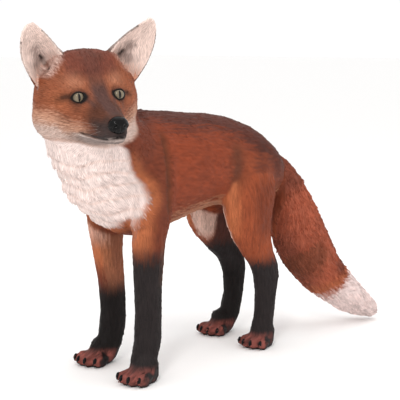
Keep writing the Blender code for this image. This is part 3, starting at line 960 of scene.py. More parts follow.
def build_skin_shape():
    """The whole skin: the solids welded, smoothed, refined where the face needs it, and modelled."""
    sizes = bpy.context.scene.fox_sizes
    remesh = {"mode": "VOXEL", "voxel_size": sizes.voxel * MM * 1}
    skin = Skin(largest_island(with_modifiers(welded_solids(), ("REMESH", remesh))))
    # The solids' facets are smoothed away, less on head, ears and feet, which keep their forms.
    feet = ramp(-skin.z, -50, -30)
    strength = 1 - 0.75 * skin.region["head"] - 0.95 * skin.region["ear"] - 0.8 * feet
    skin.smooth(6, 1 - 0.7 * skin.region["ear"])
    skin.smooth(60, np.clip(strength, 0, 1))
    drawn_back(skin)
    head = (skin.region["head"] + skin.region["ear"] > 0.5) & (skin.hy < FINE_HEAD)
    skin.take(refined(skin.mesh, head))
    left, right = (np.linalg.norm(skin.head - HEAD_EYE * (side, 1, 1), axis=1) for side in (1, -1))
    mouth = to_segments(skin.head, mouth_line()) < FINE_MOUTH
    skin.take(refined(skin.mesh, (np.minimum(left, right) < FINE_EYE) | mouth))
    skin.smooth(4, np.ones(len(skin.places)))
    skin.push(-coat_depth(skin))
    shape_body(skin)
    shape_face(skin)
    shape_ears(skin)
    clear_of_nose(skin)
    shape_eyes(skin)
    return skin


# ---------------------------------------------------------------- the skin's paint


# The back edge of the white bib: where it is along the y axis, at heights from chest to jaw.
BIB_LEVELS = (240, 263, 280, 304, 329, 340, 355, 372, 389, 397, 415, 440)
BIB_EDGES = (-30, -27, -19, -8, -12, -23, -38, -46, -55, -67, -92, -125)

# How high the black of each leg reaches above the sole, and over how many mm it fades.
BOOTS = (("fore_left", 206, 28), ("fore_right", 128, 32), ("hind_left", 158, 22), ("hind_right", 180, 22))

# How low on the sides the dark saddle comes, as the upward slant of the skin at its edge, along the back.
SADDLE_PLACES = (35, 96, 182, 242, 296)
SADDLE_SLANTS = (0.73, 0.58, 0.58, 0.43, 0.1)


class Paint:
    """Layers of colour over an array of points, one wash over another."""

    def __init__(self, count, base):
        self.colours = bpy.context.scene.fox_colours
        self.tone = np.tile(np.array(getattr(self.colours, base)), (count, 1))

    def wash(self, name, amount):
        """Lays a colour over what is there, from not at all where the amount is 0 to fully where it is 1."""
        amount = np.clip(amount, 0, 1)[:, None]
        self.tone = self.tone * (1 - amount) + np.array(getattr(self.colours, name)) * amount

    def shade(self, factor):
        """Makes the paint lighter or darker at each point."""
        self.tone = self.tone * factor[:, None]


def paint_body(paint, skin, ragged):
    """Saddle, flanks, thighs, belly and bib."""
    region = skin.region
    up = skin.normals[:, 2]
    side = np.abs(skin.x)
    body = region["trunk"] + region["neck"] + region["head"]
    inner = ramp(-skin.normals[:, 0] * np.sign(skin.x), 0.2, 0.6)
    paint.wash("shoulder", ramp(-skin.y, -60, -20) * (body + region["fore"]))
    paint.wash("thigh", ramp(skin.y + 8 * ragged, 225, 262) * ramp(-skin.z, -385, -340))
    paint.wash("thigh", 0.9 * region["hind"])
    # The dark saddle comes lower down the sides toward the rump.
    saddle = np.interp(skin.y, SADDLE_PLACES, SADDLE_SLANTS)
    paint.wash("back", ramp(up - saddle + 0.05 * ragged, -0.26, 0.2) * body * ramp(skin.z, 300, 350))
    loin = hill(skin.y - 230 - 3 * ragged, 19) * ramp(skin.z, 278, 325) * ramp(-skin.z, -400, -360)
    paint.wash("patch", (0.75 + 0.1 * ragged) * loin * ramp(side, 35, 52))
    paint.wash("back", 0.85 * ramp(skin.y, 312, 346) * ramp(skin.z, 270, 330) * region["trunk"])
    # Painted shade on the lower flank, toward the belly, between shoulder and thigh.
    paint.wash("shoulder", 0.6 * ramp(-skin.z, -318, -272) * ramp(skin.y, 50, 80) * ramp(-skin.y, -225, -200))
    paint.wash("shoulder", 0.75 * ramp(skin.y, 256, 285) * ramp(-skin.z, -320, -290) * ramp(skin.z, 190, 230))
    front_edge = hill(skin.y - 222 - 0.3 * np.maximum(200 - skin.z, 0), 12) * ramp(skin.z, 175, 215)
    paint.wash("tan", 0.7 * front_edge * region["hind"] * (1 - inner))
    under = ramp(-up + 0.1 * ragged, 0.42, 0.75) * ramp(skin.y, 20, 50) * ramp(-skin.z, -300, -280)
    paint.wash("belly", under * region["trunk"])
    paint.wash("inner", 0.9 * inner * region["hind"] * ramp(-skin.y, -280, -262) * ramp(skin.z, 180, 215))
    paint.wash("tail_dark", 0.95 * inner * region["hind"] * ramp(skin.y, 266, 278))
    # Painted shade in the crease behind each shoulder.
    paint.wash("patch", 0.75 * shoulder_crease(skin, 8, 258) * (body + region["fore"]))
    # The white bib, with its ragged tan fringe.
    edge = np.interp(skin.z, BIB_LEVELS, BIB_EDGES)
    out = skin.y - edge + 2.2 * ragged
    on = body + region["fore"]
    fringe = hill(out - 9, 15) * ramp(-skin.z, -400, -350) * ramp(skin.z, 205, 235)
    paint.wash("tan", 0.65 * fringe * on)
    low = ramp(skin.z + 5 * ragged + 0.4 * side, 214, 238)
    bib = ramp(-out, -7, 9) * on * low
    paint.wash("bib", bib)
    # Painted shade in the troughs between the ruff's rolls.
    paint.wash("inner", 0.35 * bib * ramp(-ruff_wave(skin), 0.1, 0.9))


def paint_legs(paint, skin, ragged):
    """Black boots with a painted highlight on the fronts above them, painted shade on the right legs, and
    red-brown toes.
    """
    region = skin.region
    # A painted highlight on the fronts of the forelegs, strongest on the right one.
    front_highlight = ramp(-skin.normals[:, 1], 0.1, 0.65) * ramp(-skin.z, -285, -262)
    paint.wash("tan", front_highlight * (0.3 * region["fore_left"] + 0.8 * region["fore_right"]) * ramp(skin.z, 150, 200))
    paint.wash("belly", 0.5 * ramp(skin.normals[:, 0], 0.3, 0.9) * region["fore_right"])
    paint.wash("inner", 0.45 * front_highlight * region["fore_right"] * ramp(skin.z, 200, 238))
    for name, level, soft in BOOTS:
        top = level + 6 * ragged + 14 * ramp(skin.normals[:, 1], 0.2, 0.8)
        dark = ramp(top - skin.z, -soft, soft * 0.5)
        paint.wash("boot", dark * ramp(region[name], 0.3, 0.7))
    legs = region["fore"] + region["hind"]
    # Painted shade darkens the lower part of the right legs.
    paint.wash("rim", 0.85 * (region["fore_right"] + region["hind_right"]) * ramp(-skin.z, -150, -110))
    rear = ramp(skin.normals[:, 1], 0.0, 0.6) * ramp(skin.z, 150, 175) * ramp(-skin.z, -260, -225)
    paint.wash("belly", 0.35 * rear * (0.6 + 0.5 * ragged) * region["fore"])
    toes = ramp(-skin.z, -33, -15) * ramp(-skin.normals[:, 1], -0.3, 0.3) * ramp(skin.z, 2, 6)
    paint.wash("toe", 0.85 * toes * legs * (0.85 + 0.25 * ragged))


def paint_tail(paint, skin, ragged):
    """Orange brush with a dark root, two dark bands, a dusky top and a pale tip."""
    tail = ramp(skin.region["tail"], 0.25, 0.75)
    share = skin.tail_share
    over = skin.tail_off @ unit(np.array([0.0, 0.75, 0.66])) / 45
    paint.wash("tail", tail)
    paint.wash("tail_dark", 0.55 * tail * ramp(-share, -0.13, -0.04))
    paint.wash("tail_dark", 0.4 * tail * ramp(-over + 0.2 * ragged, 0.62, 1.1) * ramp(share, 0.1, 0.3))
    band = 0.62 * tail * hill((share - 0.475 + 0.02 * ragged) / 0.06, 1)
    paint.wash("patch", band * ramp(-over, -0.5, 0.1))
    paint.wash("back", 0.7 * tail * hill((share - 0.635) / 0.055, 1) * ramp(over, -0.3, 0.3))
    paint.wash("back", 0.55 * tail * ramp(over + 0.15 * ragged, 0.55, 1.0) * ramp(share, 0.2, 0.4))
    tip = share - 0.035 * over + 0.012 * ragged
    paint.wash("tan", 0.5 * tail * hill((tip - 0.675) / 0.03, 1))
    paint.wash("tail_tip", tail * ramp(tip, 0.68, 0.735))


# The upper edge of the pale cheeks: heights at distances out from the middle of the face.
CHEEK_SIDES = (30, 42, 54, 63, 74)
CHEEK_EDGES = (-40, -33, -27, -21, -18)


def paint_face(paint, skin, ragged):
    """Forehead, bridge, muzzle, pale cheeks and chin, then the dark lines of mouth, creases and eyes."""
    side = np.abs(skin.hx)
    hy, hz = skin.hy, skin.hz
    ahead = -hy
    # On the left the face ends behind the jaw, where the brown of the neck takes over.
    behind = ramp(hy - 0.6 * (hz + 45) + 2 * ragged, 17, 28) * ramp(skin.hx, -10, 10)
    head = ramp(skin.region["head"], 0.25, 0.75)
    head *= ramp(hz + 2 * ragged + 9 * ramp(ahead, -12, 8), -75, -61) * (1 - behind)
    at = np.column_stack([side, hy, hz])

    def near(x, y, z, width):
        return hill(np.linalg.norm(at - (x, y, z), axis=1), width)

    paint.wash("face", head)
    paint.wash("brow", 0.9 * head * ramp(hz, 18, 40) * ramp(-side, -58, -34))
    mottle = ramp(lumps(skin.head, 9, 31), 0.1, 0.6) * ramp(hz, 15, 35) * ramp(-side, -45, -25)
    paint.wash("muzzle", 0.35 * head * mottle)
    brow_spot = near(38, 12, 25, 14) + 0.6 * near(27, 6, 23, 9)
    paint.wash("tan", 0.25 * brow_spot * head)
    paint.wash("cheek", 0.25 * brow_spot * head)
    paint.wash("tan", 0.35 * near(58, 16, -4, 14) * head)
    # A mauve stripe runs from the forehead down the bridge and turns grey toward the nose.
    stripe = ramp(-side, -21, -7) * (0.3 + 0.62 * ramp(-hz, -34, -10))
    paint.wash("bridge", stripe * head * ramp(hz, -30, -10))
    forward = 0.9 * head * ramp(ahead + 3 * ragged, 8, 34)
    paint.wash("muzzle", forward * ramp(side, 8, 14) * ramp(hz, -42, -30))
    paint.wash("muzzle", 0.45 * near(36, -5, -14, 9) * head)
    paint.wash("pad", 0.9 * head * ramp(ahead + 3 * ragged, 24, 50) * ramp(-hz, 18, 36))
    paint.wash("pad", 0.5 * head * ramp(ahead, 52, 68))
    # Pale cheeks, jaw and lips.
    edge = np.interp(side, CHEEK_SIDES, CHEEK_EDGES)
    cheek = ramp(edge - hz + 5 * ragged, -10, 17) * ramp(-ahead, -36, -18)
    paint.wash("cheek", head * cheek)
    paint.wash("chin", 0.75 * head * ramp(edge - hz + 4 * ragged, 14, 34) * ramp(-ahead, -36, -12))
    paint.wash("pad", 0.45 * near(26, -30, -46, 11) * head)
    below = ramp(np.interp(ahead, LIP_AHEAD, LIP_LEVELS) - hz, 0, 3) * ramp(ahead, -8, 12)
    paint.wash("chin", head * below)
    # Painted shade on the front of the chin, under the lower lip.
    paint.wash("pad", 0.5 * head * below * ramp(ahead, 14, 50))
    # Dark lines: mouth, whisker creases, eye rims, and the streak behind each eye.
    lip = to_segments(skin.head, mouth_line())
    above = ramp(hz - np.interp(ahead, LIP_AHEAD, LIP_LEVELS), -1, 3)
    paint.wash("pad", 0.85 * hill(lip - 2, 6) * head * ramp(ahead, 6, 34) * above)
    paint.wash("chin", 0.8 * hill(lip - 6, 4) * head * (1 - above) * ramp(ahead, 6, 18))
    # Painted shade under the jaw, where the skin faces down.
    paint.wash("pad", 0.55 * head * ramp(-skin.normals[:, 2], 0.2, 0.8) * ramp(ahead, -25, 5))
    lip_edge = to_segments(skin.head - (0, 0, 1.2), mouth_line())
    paint.wash("rim", 0.97 * hill(lip_edge, 3.1) * head)
    for line in whisker_creases():
        paint.wash("muzzle", 0.6 * hill(both_sides(skin.head, line), 1.1) * head)
    for sign in (1, -1):
        mirrored = skin.head * (sign, 1, 1)
        lids = eye_opening(skin, sign)[0]
        paint.wash("muzzle", 0.75 * ramp(-lids, -8, -1.0))
        wedge = to_segments(mirrored, ((42, 3, 1), (52, 9, 0), (62, 15, -3)))
        paint.wash("patch", 0.7 * hill(wedge, 6.5) * head)
        streak = to_segments(mirrored, ((43, 4, 4), (49, 8, 2.5), (54, 11, 1)))
        paint.wash("rim", 0.65 * hill(streak, 4.4) * head)
        tear = to_segments(mirrored, ((24, -9, 0), (19, -18, -5), (16, -30, -12)))
        paint.wash("bridge", 0.7 * hill(tear, 4.5) * head)
        paint.wash("rim", ramp(-lids, -2.2, -0.2))


WHISKER_LINES = 5
# The top crease, and how much lower the bottom one is at each of its points.
CREASE = ((23, -46, -34), (33, -20, -35), (50, 2, -28), (66, 17, -20))
CREASE_DROP = (8, 12, 20, 26)


def whisker_creases():
    """Curved creases that sweep back from the whisker pad over the cheek, one below the other."""
    lines = []
    for i in range(WHISKER_LINES):
        share = i / (WHISKER_LINES - 1)
        lines.append([(x, y, z - drop * share) for (x, y, z), drop in zip(CREASE, CREASE_DROP)])
    return lines


def paint_ears(paint, skin, ragged):
    """Dark backs, pale cups that turn tan at their foot, the smudged canal and the dark rims."""
    hollow, height = inside_ear(skin)
    ear = ramp(skin.region["ear"], 0.3, 0.7)
    paint.wash("face", ear * (1 - hollow) * ramp(height, 0.12, 0.25))
    paint.wash("ear_back", ear * (1 - hollow) * ramp(height + 0.06 * ragged, 0.15, 0.45))
    paint.wash("ear", hollow * ear)
    # The cup's pale lining runs on over the skull in front of it, then breaks up into the russet of the face.
    lining = ramp(toward_cup(skin) + 2 * ragged, -8, 9) * ramp(skin.hz, 24, 36) * ramp(-skin.hy, -72, -60)
    lining *= (0.9 - 0.4 * (skin.hx > 0)) * ramp(-skin.facing[:, 1], -0.7, -0.25)
    near_ear = np.clip(skin.region["ear"] + skin.region["head"], 0, 1)
    paint.wash("ear", lining * near_ear)
    low = 0.08 * ragged - height
    paint.wash("cheek", 0.5 * hollow * ear * ramp(low, -0.42, -0.14))
    paint.wash("tan", 0.75 * hollow * ear * ramp(low, -0.26, -0.06))
    smudge = both_sides(skin.head, EAR_SMUDGE) + 3 * ragged
    paint.wash("bridge", 0.6 * hill(smudge, 11) * near_ear)
    paint.wash("rim", 0.95 * hill(both_sides(skin.head, EAR_CANAL), 3.0) * near_ear)
    rim = hill(hollow - 0.12, 0.12) * ear
    paint.wash("ear_back", 0.8 * rim)


def painted(skin, strokes):
    """The paint at each vertex: masks laid from anatomy, with edges broken up by the strokes of the coat."""
    ragged = np.clip(0.55 * strokes + 0.6 * lumps(in_fox(skin.places), 14, 5), -1.6, 1.6)
    paint = Paint(len(skin.places), "flank")
    paint_body(paint, skin, ragged)
    paint_legs(paint, skin, ragged)
    paint_tail(paint, skin, ragged)
    paint_face(paint, skin, ragged)
    paint_ears(paint, skin, ragged)
    # Painted shade darkens the hollows of the feet, most of all between the toes.
    hollow = ((skin.neighbours(skin.places) - skin.places) * skin.normals).sum(axis=1) / MM
    hollow = skin.softened(hollow[:, None], 3)[:, 0]
    foot = ramp(-skin.z, -44, -34)
    paint.wash("rim", 0.75 * foot * ramp(hollow, 0.05, 0.2))
    # Painted shade in the grooves of the combed relief and a painted highlight on its ridges, with soft
    # random clouds of lighter and darker paint.
    paint.shade(1 + 0.11 * np.clip(strokes, -2, 2) + 0.06 * lumps(in_fox(skin.places), 30, 8))
    return np.clip(paint.tone, 0, 1)


# ---------------------------------------------------------------- fur locks


# Each kind of lock: how many per square centimetre, then length, width, height and the tip's lift in mm.
LOCKS = {
    "brush": {"per_cm2": 5.6, "long": 10, "wide": 2.4, "high": 1.0, "lift": 0.2},
    "ruff": {"per_cm2": 5.0, "long": 9, "wide": 1.9, "high": 0.42, "lift": 0.0},
    "body": {"per_cm2": 3.8, "long": 8, "wide": 1.8, "high": 0.35, "lift": 0.0},
    "head": {"per_cm2": 10.0, "long": 4.6, "wide": 1.0, "high": 0.28, "lift": 0.0},
    "legs": {"per_cm2": 4.2, "long": 6.5, "wide": 1.5, "high": 0.35, "lift": 0.0},
}


def lock_weights(skin):
    """How much each kind of lock covers each vertex."""
    region = skin.region
    front = ramp(-skin.normals[:, 1], 0.15, 0.5) * ramp(-skin.y, 0, 20)
    ruff = np.clip(region["neck"] + region["trunk"] * front, 0, 1)
    breech = region["hind"] * ramp(skin.z, 190, 230)
    above_toes = ramp(skin.z, 26, 40)
    shin = np.clip(region["fore"] + region["hind"] - breech, 0, 1) * above_toes
    knuckles = 0.5 * (1 - above_toes) * ramp(skin.z, 8, 16) * (skin.normals[:, 2] > 0)
    lip = ramp(to_segments(skin.head, mouth_line()), 4, 9)
    nose = ramp(np.linalg.norm(skin.head - NOSE_MIDDLE, axis=1), 17, 26)
    face = region["head"] * lip * ramp(beside_lids(skin), 3.5, 6.5) * nose
    return {
        "brush": region["tail"],
        "ruff": ruff,
        "body": np.clip(region["trunk"] - ruff, 0, 1) + breech,
        "head": np.clip(face, 0, 1),
        "legs": shin + knuckles,
    }


def scattered(skin, weight, per_cm2, rng):
    """Random places on the skin: face corners and their shares, thicker where the weight is higher."""
    corners = read(skin.mesh.loop_triangles, "vertices", 3, np.int64)
    a, b, c = (skin.places[corners[:, k]] for k in range(3))
    area_cm2 = np.linalg.norm(np.cross(b - a, c - a), axis=1) / 2 * 1e4
    wanted = area_cm2 * per_cm2 * weight[corners].mean(axis=1)
    count = rng.poisson(wanted.sum())
    chosen = rng.choice(len(corners), count, p=wanted / wanted.sum())
    share = rng.random((count, 2))
    flip = share.sum(axis=1) > 1
    share[flip] = 1 - share[flip]
    shares = np.column_stack([1 - share.sum(axis=1), share])
    return corners[chosen], shares


def spread(values, corners, shares):
    """A vertex field's value at scattered places."""
    return (values[corners] * shares[:, :, None]).sum(axis=1)


# The flat map of the skin, eight cells each way: each region's first column and row, columns and rows.
ATLAS = {
    "trunk": (0, 0, 4, 4),
    "tail": (4, 0, 3, 3),
    "neck": (4, 3, 2, 2),
    "head": (0, 4, 3, 3),
    "ear_left": (3, 5, 1, 2),
    "ear_right": (6, 3, 1, 2),
    "fore_left": (4, 5, 1, 2),
    "fore_right": (5, 5, 1, 2),
    "hind_left": (6, 5, 1, 2),
    "hind_right": (0, 7, 3, 1),
}
ATLAS_SIDE = 8
ATLAS_MARGIN = 0.04


def unwrapped(places, regions):
    """Each place's spot on the flat map: every region is unrolled round its own long axis into its cell."""
    spots = np.zeros((len(places), 2))
    for number, name in enumerate(REGIONS):
        chosen = regions == number
        if chosen.sum() < 3:
            continue
        points = places[chosen]
        centre = points.mean(axis=0)
        axes = np.linalg.svd(points - centre, full_matrices=False)[2]
        along, across, up = ((points - centre) @ axes.T).T
        turn = np.arctan2(up, across) / (2 * math.pi) + 0.5
        height = (along - along.min()) / (np.ptp(along) + 1e-9)
        column, row, wide, tall = ATLAS[name]
        spots[chosen, 0] = (column + ATLAS_MARGIN + turn * (wide - 2 * ATLAS_MARGIN)) / ATLAS_SIDE
        spots[chosen, 1] = (row + ATLAS_MARGIN + height * (tall - 2 * ATLAS_MARGIN)) / ATLAS_SIDE
    return spots


LOCK_SEED = 20
# Rows of three points along a lock: shares of its length, width and height.
LOCK_ROWS = ((0.0, 0.35, 0.0), (0.3, 1.0, 0.85), (0.62, 0.85, 1.0), (0.85, 0.45, 0.8))
LOCK_POINTS = 3 * len(LOCK_ROWS) + 1
# How far a lock's edges are sunk in the skin, in mm, and how much locks stray and differ from each other.
LOCK_SUNK = 0.35
LOCK_STRAY = 0.16
LOCK_TONE_SPREAD = 0.1
LOCK_SIZES = (0.7, 1.25)
LOCK_BEND = 0.9
# A lock's paint is darker at its root, as painted shade where it meets the skin, and lighter at its tip.
ROOT_TONE = 0.86
TIP_TONE = 1.06
# How large each lock's own patch is on the flat map.
LOCK_PATCH = 0.003


def lock_faces():
    """Faces of one closed lock, from its root to its tip."""
    faces = [(0, 2, 1)]
    for b in range(0, LOCK_POINTS - 4, 3):
        faces += [(b, b + 1, b + 4, b + 3), (b + 1, b + 2, b + 5, b + 4), (b + 2, b, b + 3, b + 5)]
    b = LOCK_POINTS - 4
    return faces + [(b, b + 1, b + 3), (b + 1, b + 2, b + 3), (b + 2, b, b + 3)]


def lock_points(kind, root, way, across, normal, rng):
    """Places of every lock's points, and each point's offset on the flat map."""
    count = len(root)
    scale = rng.uniform(*LOCK_SIZES, (count, 1)) * MM
    bend = rng.uniform(-LOCK_BEND, LOCK_BEND, (count, 1)) * kind["wide"] * 0.5
    columns = []
    offsets = []
    for along, wide, high in LOCK_ROWS:
        for side in (-1, 0, 1):
            rise = high * kind["high"] + kind["lift"] * along if side == 0 else -LOCK_SUNK
            sideways = side * wide * kind["wide"] / 2 + bend * along**2
            step = way * along * kind["long"] + across * sideways + normal * rise
            columns.append(root + step * scale)
            offsets.append((side * wide * 0.5, along - 0.5))
    tip_rise = kind["high"] * 0.15 + kind["lift"]
    columns.append(root + (way * kind["long"] + across * bend + normal * tip_rise) * scale)
    offsets.append((0, 0.5))
    return np.stack(columns, axis=1), np.array(offsets) * LOCK_PATCH


def repeated_mesh(name, points, faces):
    """One mesh of many copies of the same faces, and the vertex at each of its face corners."""
    count, each = points.shape[:2]
    sides = [len(face) for face in faces]
    total = sum(sides)
    starts = np.cumsum([0, *sides[:-1]])
    at_corners = (np.concatenate(faces)[None] + np.arange(count)[:, None] * each).ravel()
    mesh = bpy.data.meshes.new(name)
    mesh.vertices.add(count * each)
    mesh.vertices.foreach_set("co", points.ravel())
    mesh.loops.add(count * total)
    mesh.loops.foreach_set("vertex_index", at_corners)
    mesh.polygons.add(count * len(faces))
    mesh.polygons.foreach_set("loop_start", (starts[None] + np.arange(count)[:, None] * total).ravel())
    mesh.update(calc_edges=True)
    mesh.validate()
    return mesh, at_corners


def grow_locks(name, skin, lie, tone, kind, weight, rng):
    """One mesh of carved locks: closed slim wedges, sunk at the root and along both edges."""
    corners, shares = scattered(skin, weight, kind["per_cm2"], rng)
    root = spread(skin.places, corners, shares)
    normal = unit(spread(skin.normals, corners, shares))
    way = spread(lie, corners, shares)
    way = way + LOCK_STRAY * rng.standard_normal(way.shape)
    way = unit(way - normal * (way * normal).sum(axis=1)[:, None])
    across = np.cross(normal, way)
    count = len(root)
    colours = spread(tone, corners, shares) * (1 + LOCK_TONE_SPREAD * rng.standard_normal((count, 1)))
    points, offsets = lock_points(kind, root, way, across, normal, rng)
    mesh, at_corners = repeated_mesh(name, points, lock_faces())
    fade = np.tile(np.array([ROOT_TONE] * 3 + [1.0] * 6 + [TIP_TONE] * (LOCK_POINTS - 9)), count)
    colours = np.clip(np.repeat(colours, LOCK_POINTS, axis=0) * fade[:, None], 0, 1)
    write_field(mesh, "paint", "FLOAT_COLOR", colours)
    write_field(mesh, "across", "FLOAT_VECTOR", np.repeat(across, LOCK_POINTS, axis=0))
    region_table = np.column_stack([skin.region[word] for word in REGIONS])
    regions = spread(region_table, corners, shares).argmax(axis=1)
    spots = np.repeat(unwrapped(root, regions), LOCK_POINTS, axis=0) + np.tile(offsets, (count, 1))
    layer = mesh.uv_layers.new(name="OFBake")
    layer.data.foreach_set("uv", spots[at_corners].ravel())
    return mesh


# ---------------------------------------------------------------- pieces


# What the skin's operator leaves for the locks: the skin, the lie of its coat and its paint.
FOX = {}
# How far above the floor the soles' last correction fades, in metres, and the edge angle kept sharp on locks.
SOLE_BLEND = 0.012
LOCK_SHARP = math.radians(100)


class FOX_OT_skin(bpy.types.Operator):
    """Moulded skin of the whole figure, with its relief and its paint"""

    bl_idname = "fox.skin"
    bl_label = "Moulded skin"

    def execute(self, context):
        skin = build_skin_shape()
        lie = lie_of_coat(skin)
        strokes = combed(skin, lie)
        region = skin.region
        deep = 1 + 1.4 * region["tail"] + 0.8 * region["neck"] - 0.55 * region["head"] - 0.4 * region["ear"]
        deep *= ramp(skin.z, 4, 40)
        relief = context.scene.fox_sizes.relief * deep * np.clip(strokes, -2, 2)
        skin.push(relief * ramp(beside_lids(skin), 2, 6))
        # The soles are brought down to the floor.
        skin.places[:, 2] -= skin.places[:, 2].min() * hill(skin.places[:, 2], SOLE_BLEND)
        skin.refresh()
        tone = painted(skin, strokes)
        write_field(skin.mesh, "paint", "FLOAT_COLOR", tone)
        write_field(skin.mesh, "across", "FLOAT_VECTOR", np.cross(skin.normals, lie))
        skin.mesh.calc_loop_triangles()
        FOX.update(skin=skin, lie=lie, tone=tone)
        add_piece("moulded_skin", skin.mesh, painted_resin(), FLESH)
        return {"FINISHED"}


class FOX_OT_locks(bpy.types.Operator):
    """Carved locks of fur over the skin, in one mesh for each kind"""

    bl_idname = "fox.locks"
    bl_label = "Fur locks"

    def execute(self, context):
        if "skin" not in FOX:
            raise RuntimeError("build the moulded skin first")
        skin = FOX["skin"]
        weights = lock_weights(skin)
        for seed, (name, kind) in enumerate(LOCKS.items(), LOCK_SEED):
            rng = np.random.default_rng(seed)
            mesh = grow_locks(f"locks_{name}", skin, FOX["lie"], FOX["tone"], kind, weights[name], rng)
            piece = add_piece(f"locks_{name}", mesh, painted_resin())
            piece.data.set_sharp_from_angle(angle=LOCK_SHARP)
        return {"FINISHED"}


def globe(columns, rows):
    """A unit ball with its pole toward +Z, as a mesh and its points."""
    down = (np.arange(1, rows) * math.pi / rows)[:, None]
    turn = (np.arange(columns) * 2 * math.pi / columns)[None]
    belt = [np.sin(down) * np.cos(turn), np.sin(down) * np.sin(turn), np.cos(down) + 0 * turn]
    points = np.vstack([np.stack(belt, axis=-1).reshape(-1, 3), (0, 0, 1), (0, 0, -1)])
    last = (rows - 2) * columns
    top = last + columns
    faces = []
    for k in range(columns):
        after = (k + 1) % columns
        faces.append((top, k, after))
        faces += [(i + k, i + columns + k, i + columns + after, i + after) for i in range(0, last, columns)]
        faces.append((top + 1, last + after, last + k))
    return mesh_of("globe", points, faces), points


# Columns and rows of faces on each ball from which eyes, nose and claws are shaped.
EYE_GRID = (64, 40)
NOSE_GRID = (96, 64)
CLAW_GRID = (16, 12)
# The iris's radius in mm, and how far the clear front swells over it as a share of the ball.
IRIS_RADIUS = 9.3
EYE_DOME = 0.05


class FOX_OT_eyes(bpy.types.Operator):
    """Eyeballs with a domed clear front over a painted iris and slit pupil"""

    bl_idname = "fox.eyes"
    bl_label = "Eyes"

    def execute(self, context):
        material = painted_eye()
        for side, name in ((1, "eye_left"), (-1, "eye_right")):
            mesh, ball = globe(*EYE_GRID)
            centre, gaze, out, up = eye_axes(side)
            away = ball[:, 0:1] * out + ball[:, 1:2] * up + ball[:, 2:3] * gaze
            spot = ball[:, :2] * EYE_RADIUS / IRIS_RADIUS
            dome = 1 + EYE_DOME * (1 - ramp(np.linalg.norm(spot, axis=1), 0.2, 1.1)) * (ball[:, 2] > 0)
            write_places(mesh, from_head(centre + away * EYE_RADIUS * dome[:, None]))
            spot[ball[:, 2] < 0] = 2
            write_field(mesh, "gaze", "FLOAT_VECTOR", np.column_stack([spot, 0 * spot[:, 0]]))
            if side < 0:
                mesh.flip_normals()
            add_piece(f"glossy_{name}", mesh, material, [name])
        return {"FINISHED"}


# The left nostril from its opening to its outer slit, from the pad's middle.
NOSTRIL = ((6.6, -9.5, 0.5), (9.5, -7.6, -1.5), (13, -4, -3))


class FOX_OT_nose(bpy.types.Operator):
    """Nose pad with nostrils and the groove between them"""

    bl_idname = "fox.nose"
    bl_label = "Nose"

    def execute(self, context):
        mesh, ball = globe(*NOSE_GRID)
        x, y, z = ball.T
        width = NOSE_HALF[0] * (1 - 0.2 * ramp(-z, 0.1, 0.9))
        shape = np.column_stack([x * width, y * NOSE_HALF[1], z * NOSE_HALF[2]])
        at = np.column_stack([np.abs(shape[:, 0]), shape[:, 1], shape[:, 2]])
        nostril = to_segments(at, NOSTRIL)
        push = -3.4 * hill(nostril, 2.3) + 0.7 * hill(nostril - 4, 1.8)
        push -= 1.1 * hill(shape[:, 0], 0.9) * (y < -0.2) * ramp(-z, -0.35, 0.1)
        shape = shape + unit(ball / NOSE_HALF) * push[:, None]
        write_places(mesh, from_head(NOSE_MIDDLE + shape))
        add_piece("glossy_nose", mesh, black_enamel(), ["nose"])
        return {"FINISHED"}


# How far each claw's enamel stands over its solid, and how far its ends curve back, in metres.
CLAW_OVER = 0.0003
CLAW_CURVE = 0.0012


class FOX_OT_claws(bpy.types.Operator):
    """Claws of each paw, curved down over the fronts of the toes"""

    bl_idname = "fox.claws"
    bl_label = "Claws"

    def execute(self, context):
        for paw in LEGS:
            names = sorted(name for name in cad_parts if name.startswith(f"claw_{paw}"))
            work = bmesh.new()
            for name in names:
                low, high = (np.array(corner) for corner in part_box(name))
                mesh, ball = globe(*CLAW_GRID)
                taper = 1 - 0.45 * ramp(-ball[:, 2], -0.2, 1.0)
                shape = ball * ((high - low) / 2 + CLAW_OVER)
                shape[:, 0] *= taper
                shape[:, 1] += CLAW_CURVE * ball[:, 2] ** 2
                write_places(mesh, (low + high) / 2 + shape)
                work.from_mesh(mesh)
            joined = bpy.data.meshes.new(f"claws_{paw}")
            work.to_mesh(joined)
            work.free()
            add_piece(f"claws_{paw}", joined, black_enamel(), names)
        return {"FINISHED"}


# Whiskers on one side: root on the muzzle, a point on the way and the end, in the head's axes.
WHISKERS = (
    ((18, -52, -36), (38, -46, -34), (60, -32, -37)),
    ((19, -49, -40), (38, -40, -43), (56, -26, -49)),
    ((17, -56, -41), (36, -52, -47), (54, -42, -56)),
    ((20, -46, -35), (40, -34, -31), (60, -16, -30)),
)


# A hair's radius at its root in mm, and how much thinner its tip is.
WHISKER_RADIUS = 0.17
WHISKER_TAPER = 0.75
WHISKER_SIDES = 5
WHISKER_RINGS = 14


def tapered_hair(points):
    """A slim round hair along a curve through three points, thinning to its end."""
    start, between, end = (np.array(p, float) for p in points)
    shares = np.linspace(0, 1, WHISKER_RINGS)[:, None]
    control = 2 * between - (start + end) / 2
    line = (1 - shares) ** 2 * start + 2 * shares * (1 - shares) * control + shares**2 * end
    direction = unit(np.gradient(line, axis=0))
    side = unit(np.cross(direction, (0, 0, 1)))
    up = np.cross(side, direction)
    sides = WHISKER_SIDES
    rings = []
    for i, share in enumerate(shares[:, 0]):
        radius = WHISKER_RADIUS * (1 - WHISKER_TAPER * share)
        for k in range(sides):
            angle = 2 * math.pi * k / sides
            rings.append(line[i] + radius * (side[i] * math.cos(angle) + up[i] * math.sin(angle)))
    faces = []
    for i in range(WHISKER_RINGS - 1):
        for k in range(sides):
            a, b = i * sides + k, i * sides + (k + 1) % sides
            faces.append((a, b, b + sides, a + sides))
    faces.append(tuple(range(sides))[::-1])
    faces.append(tuple(range((WHISKER_RINGS - 1) * sides, WHISKER_RINGS * sides)))
    return rings, faces


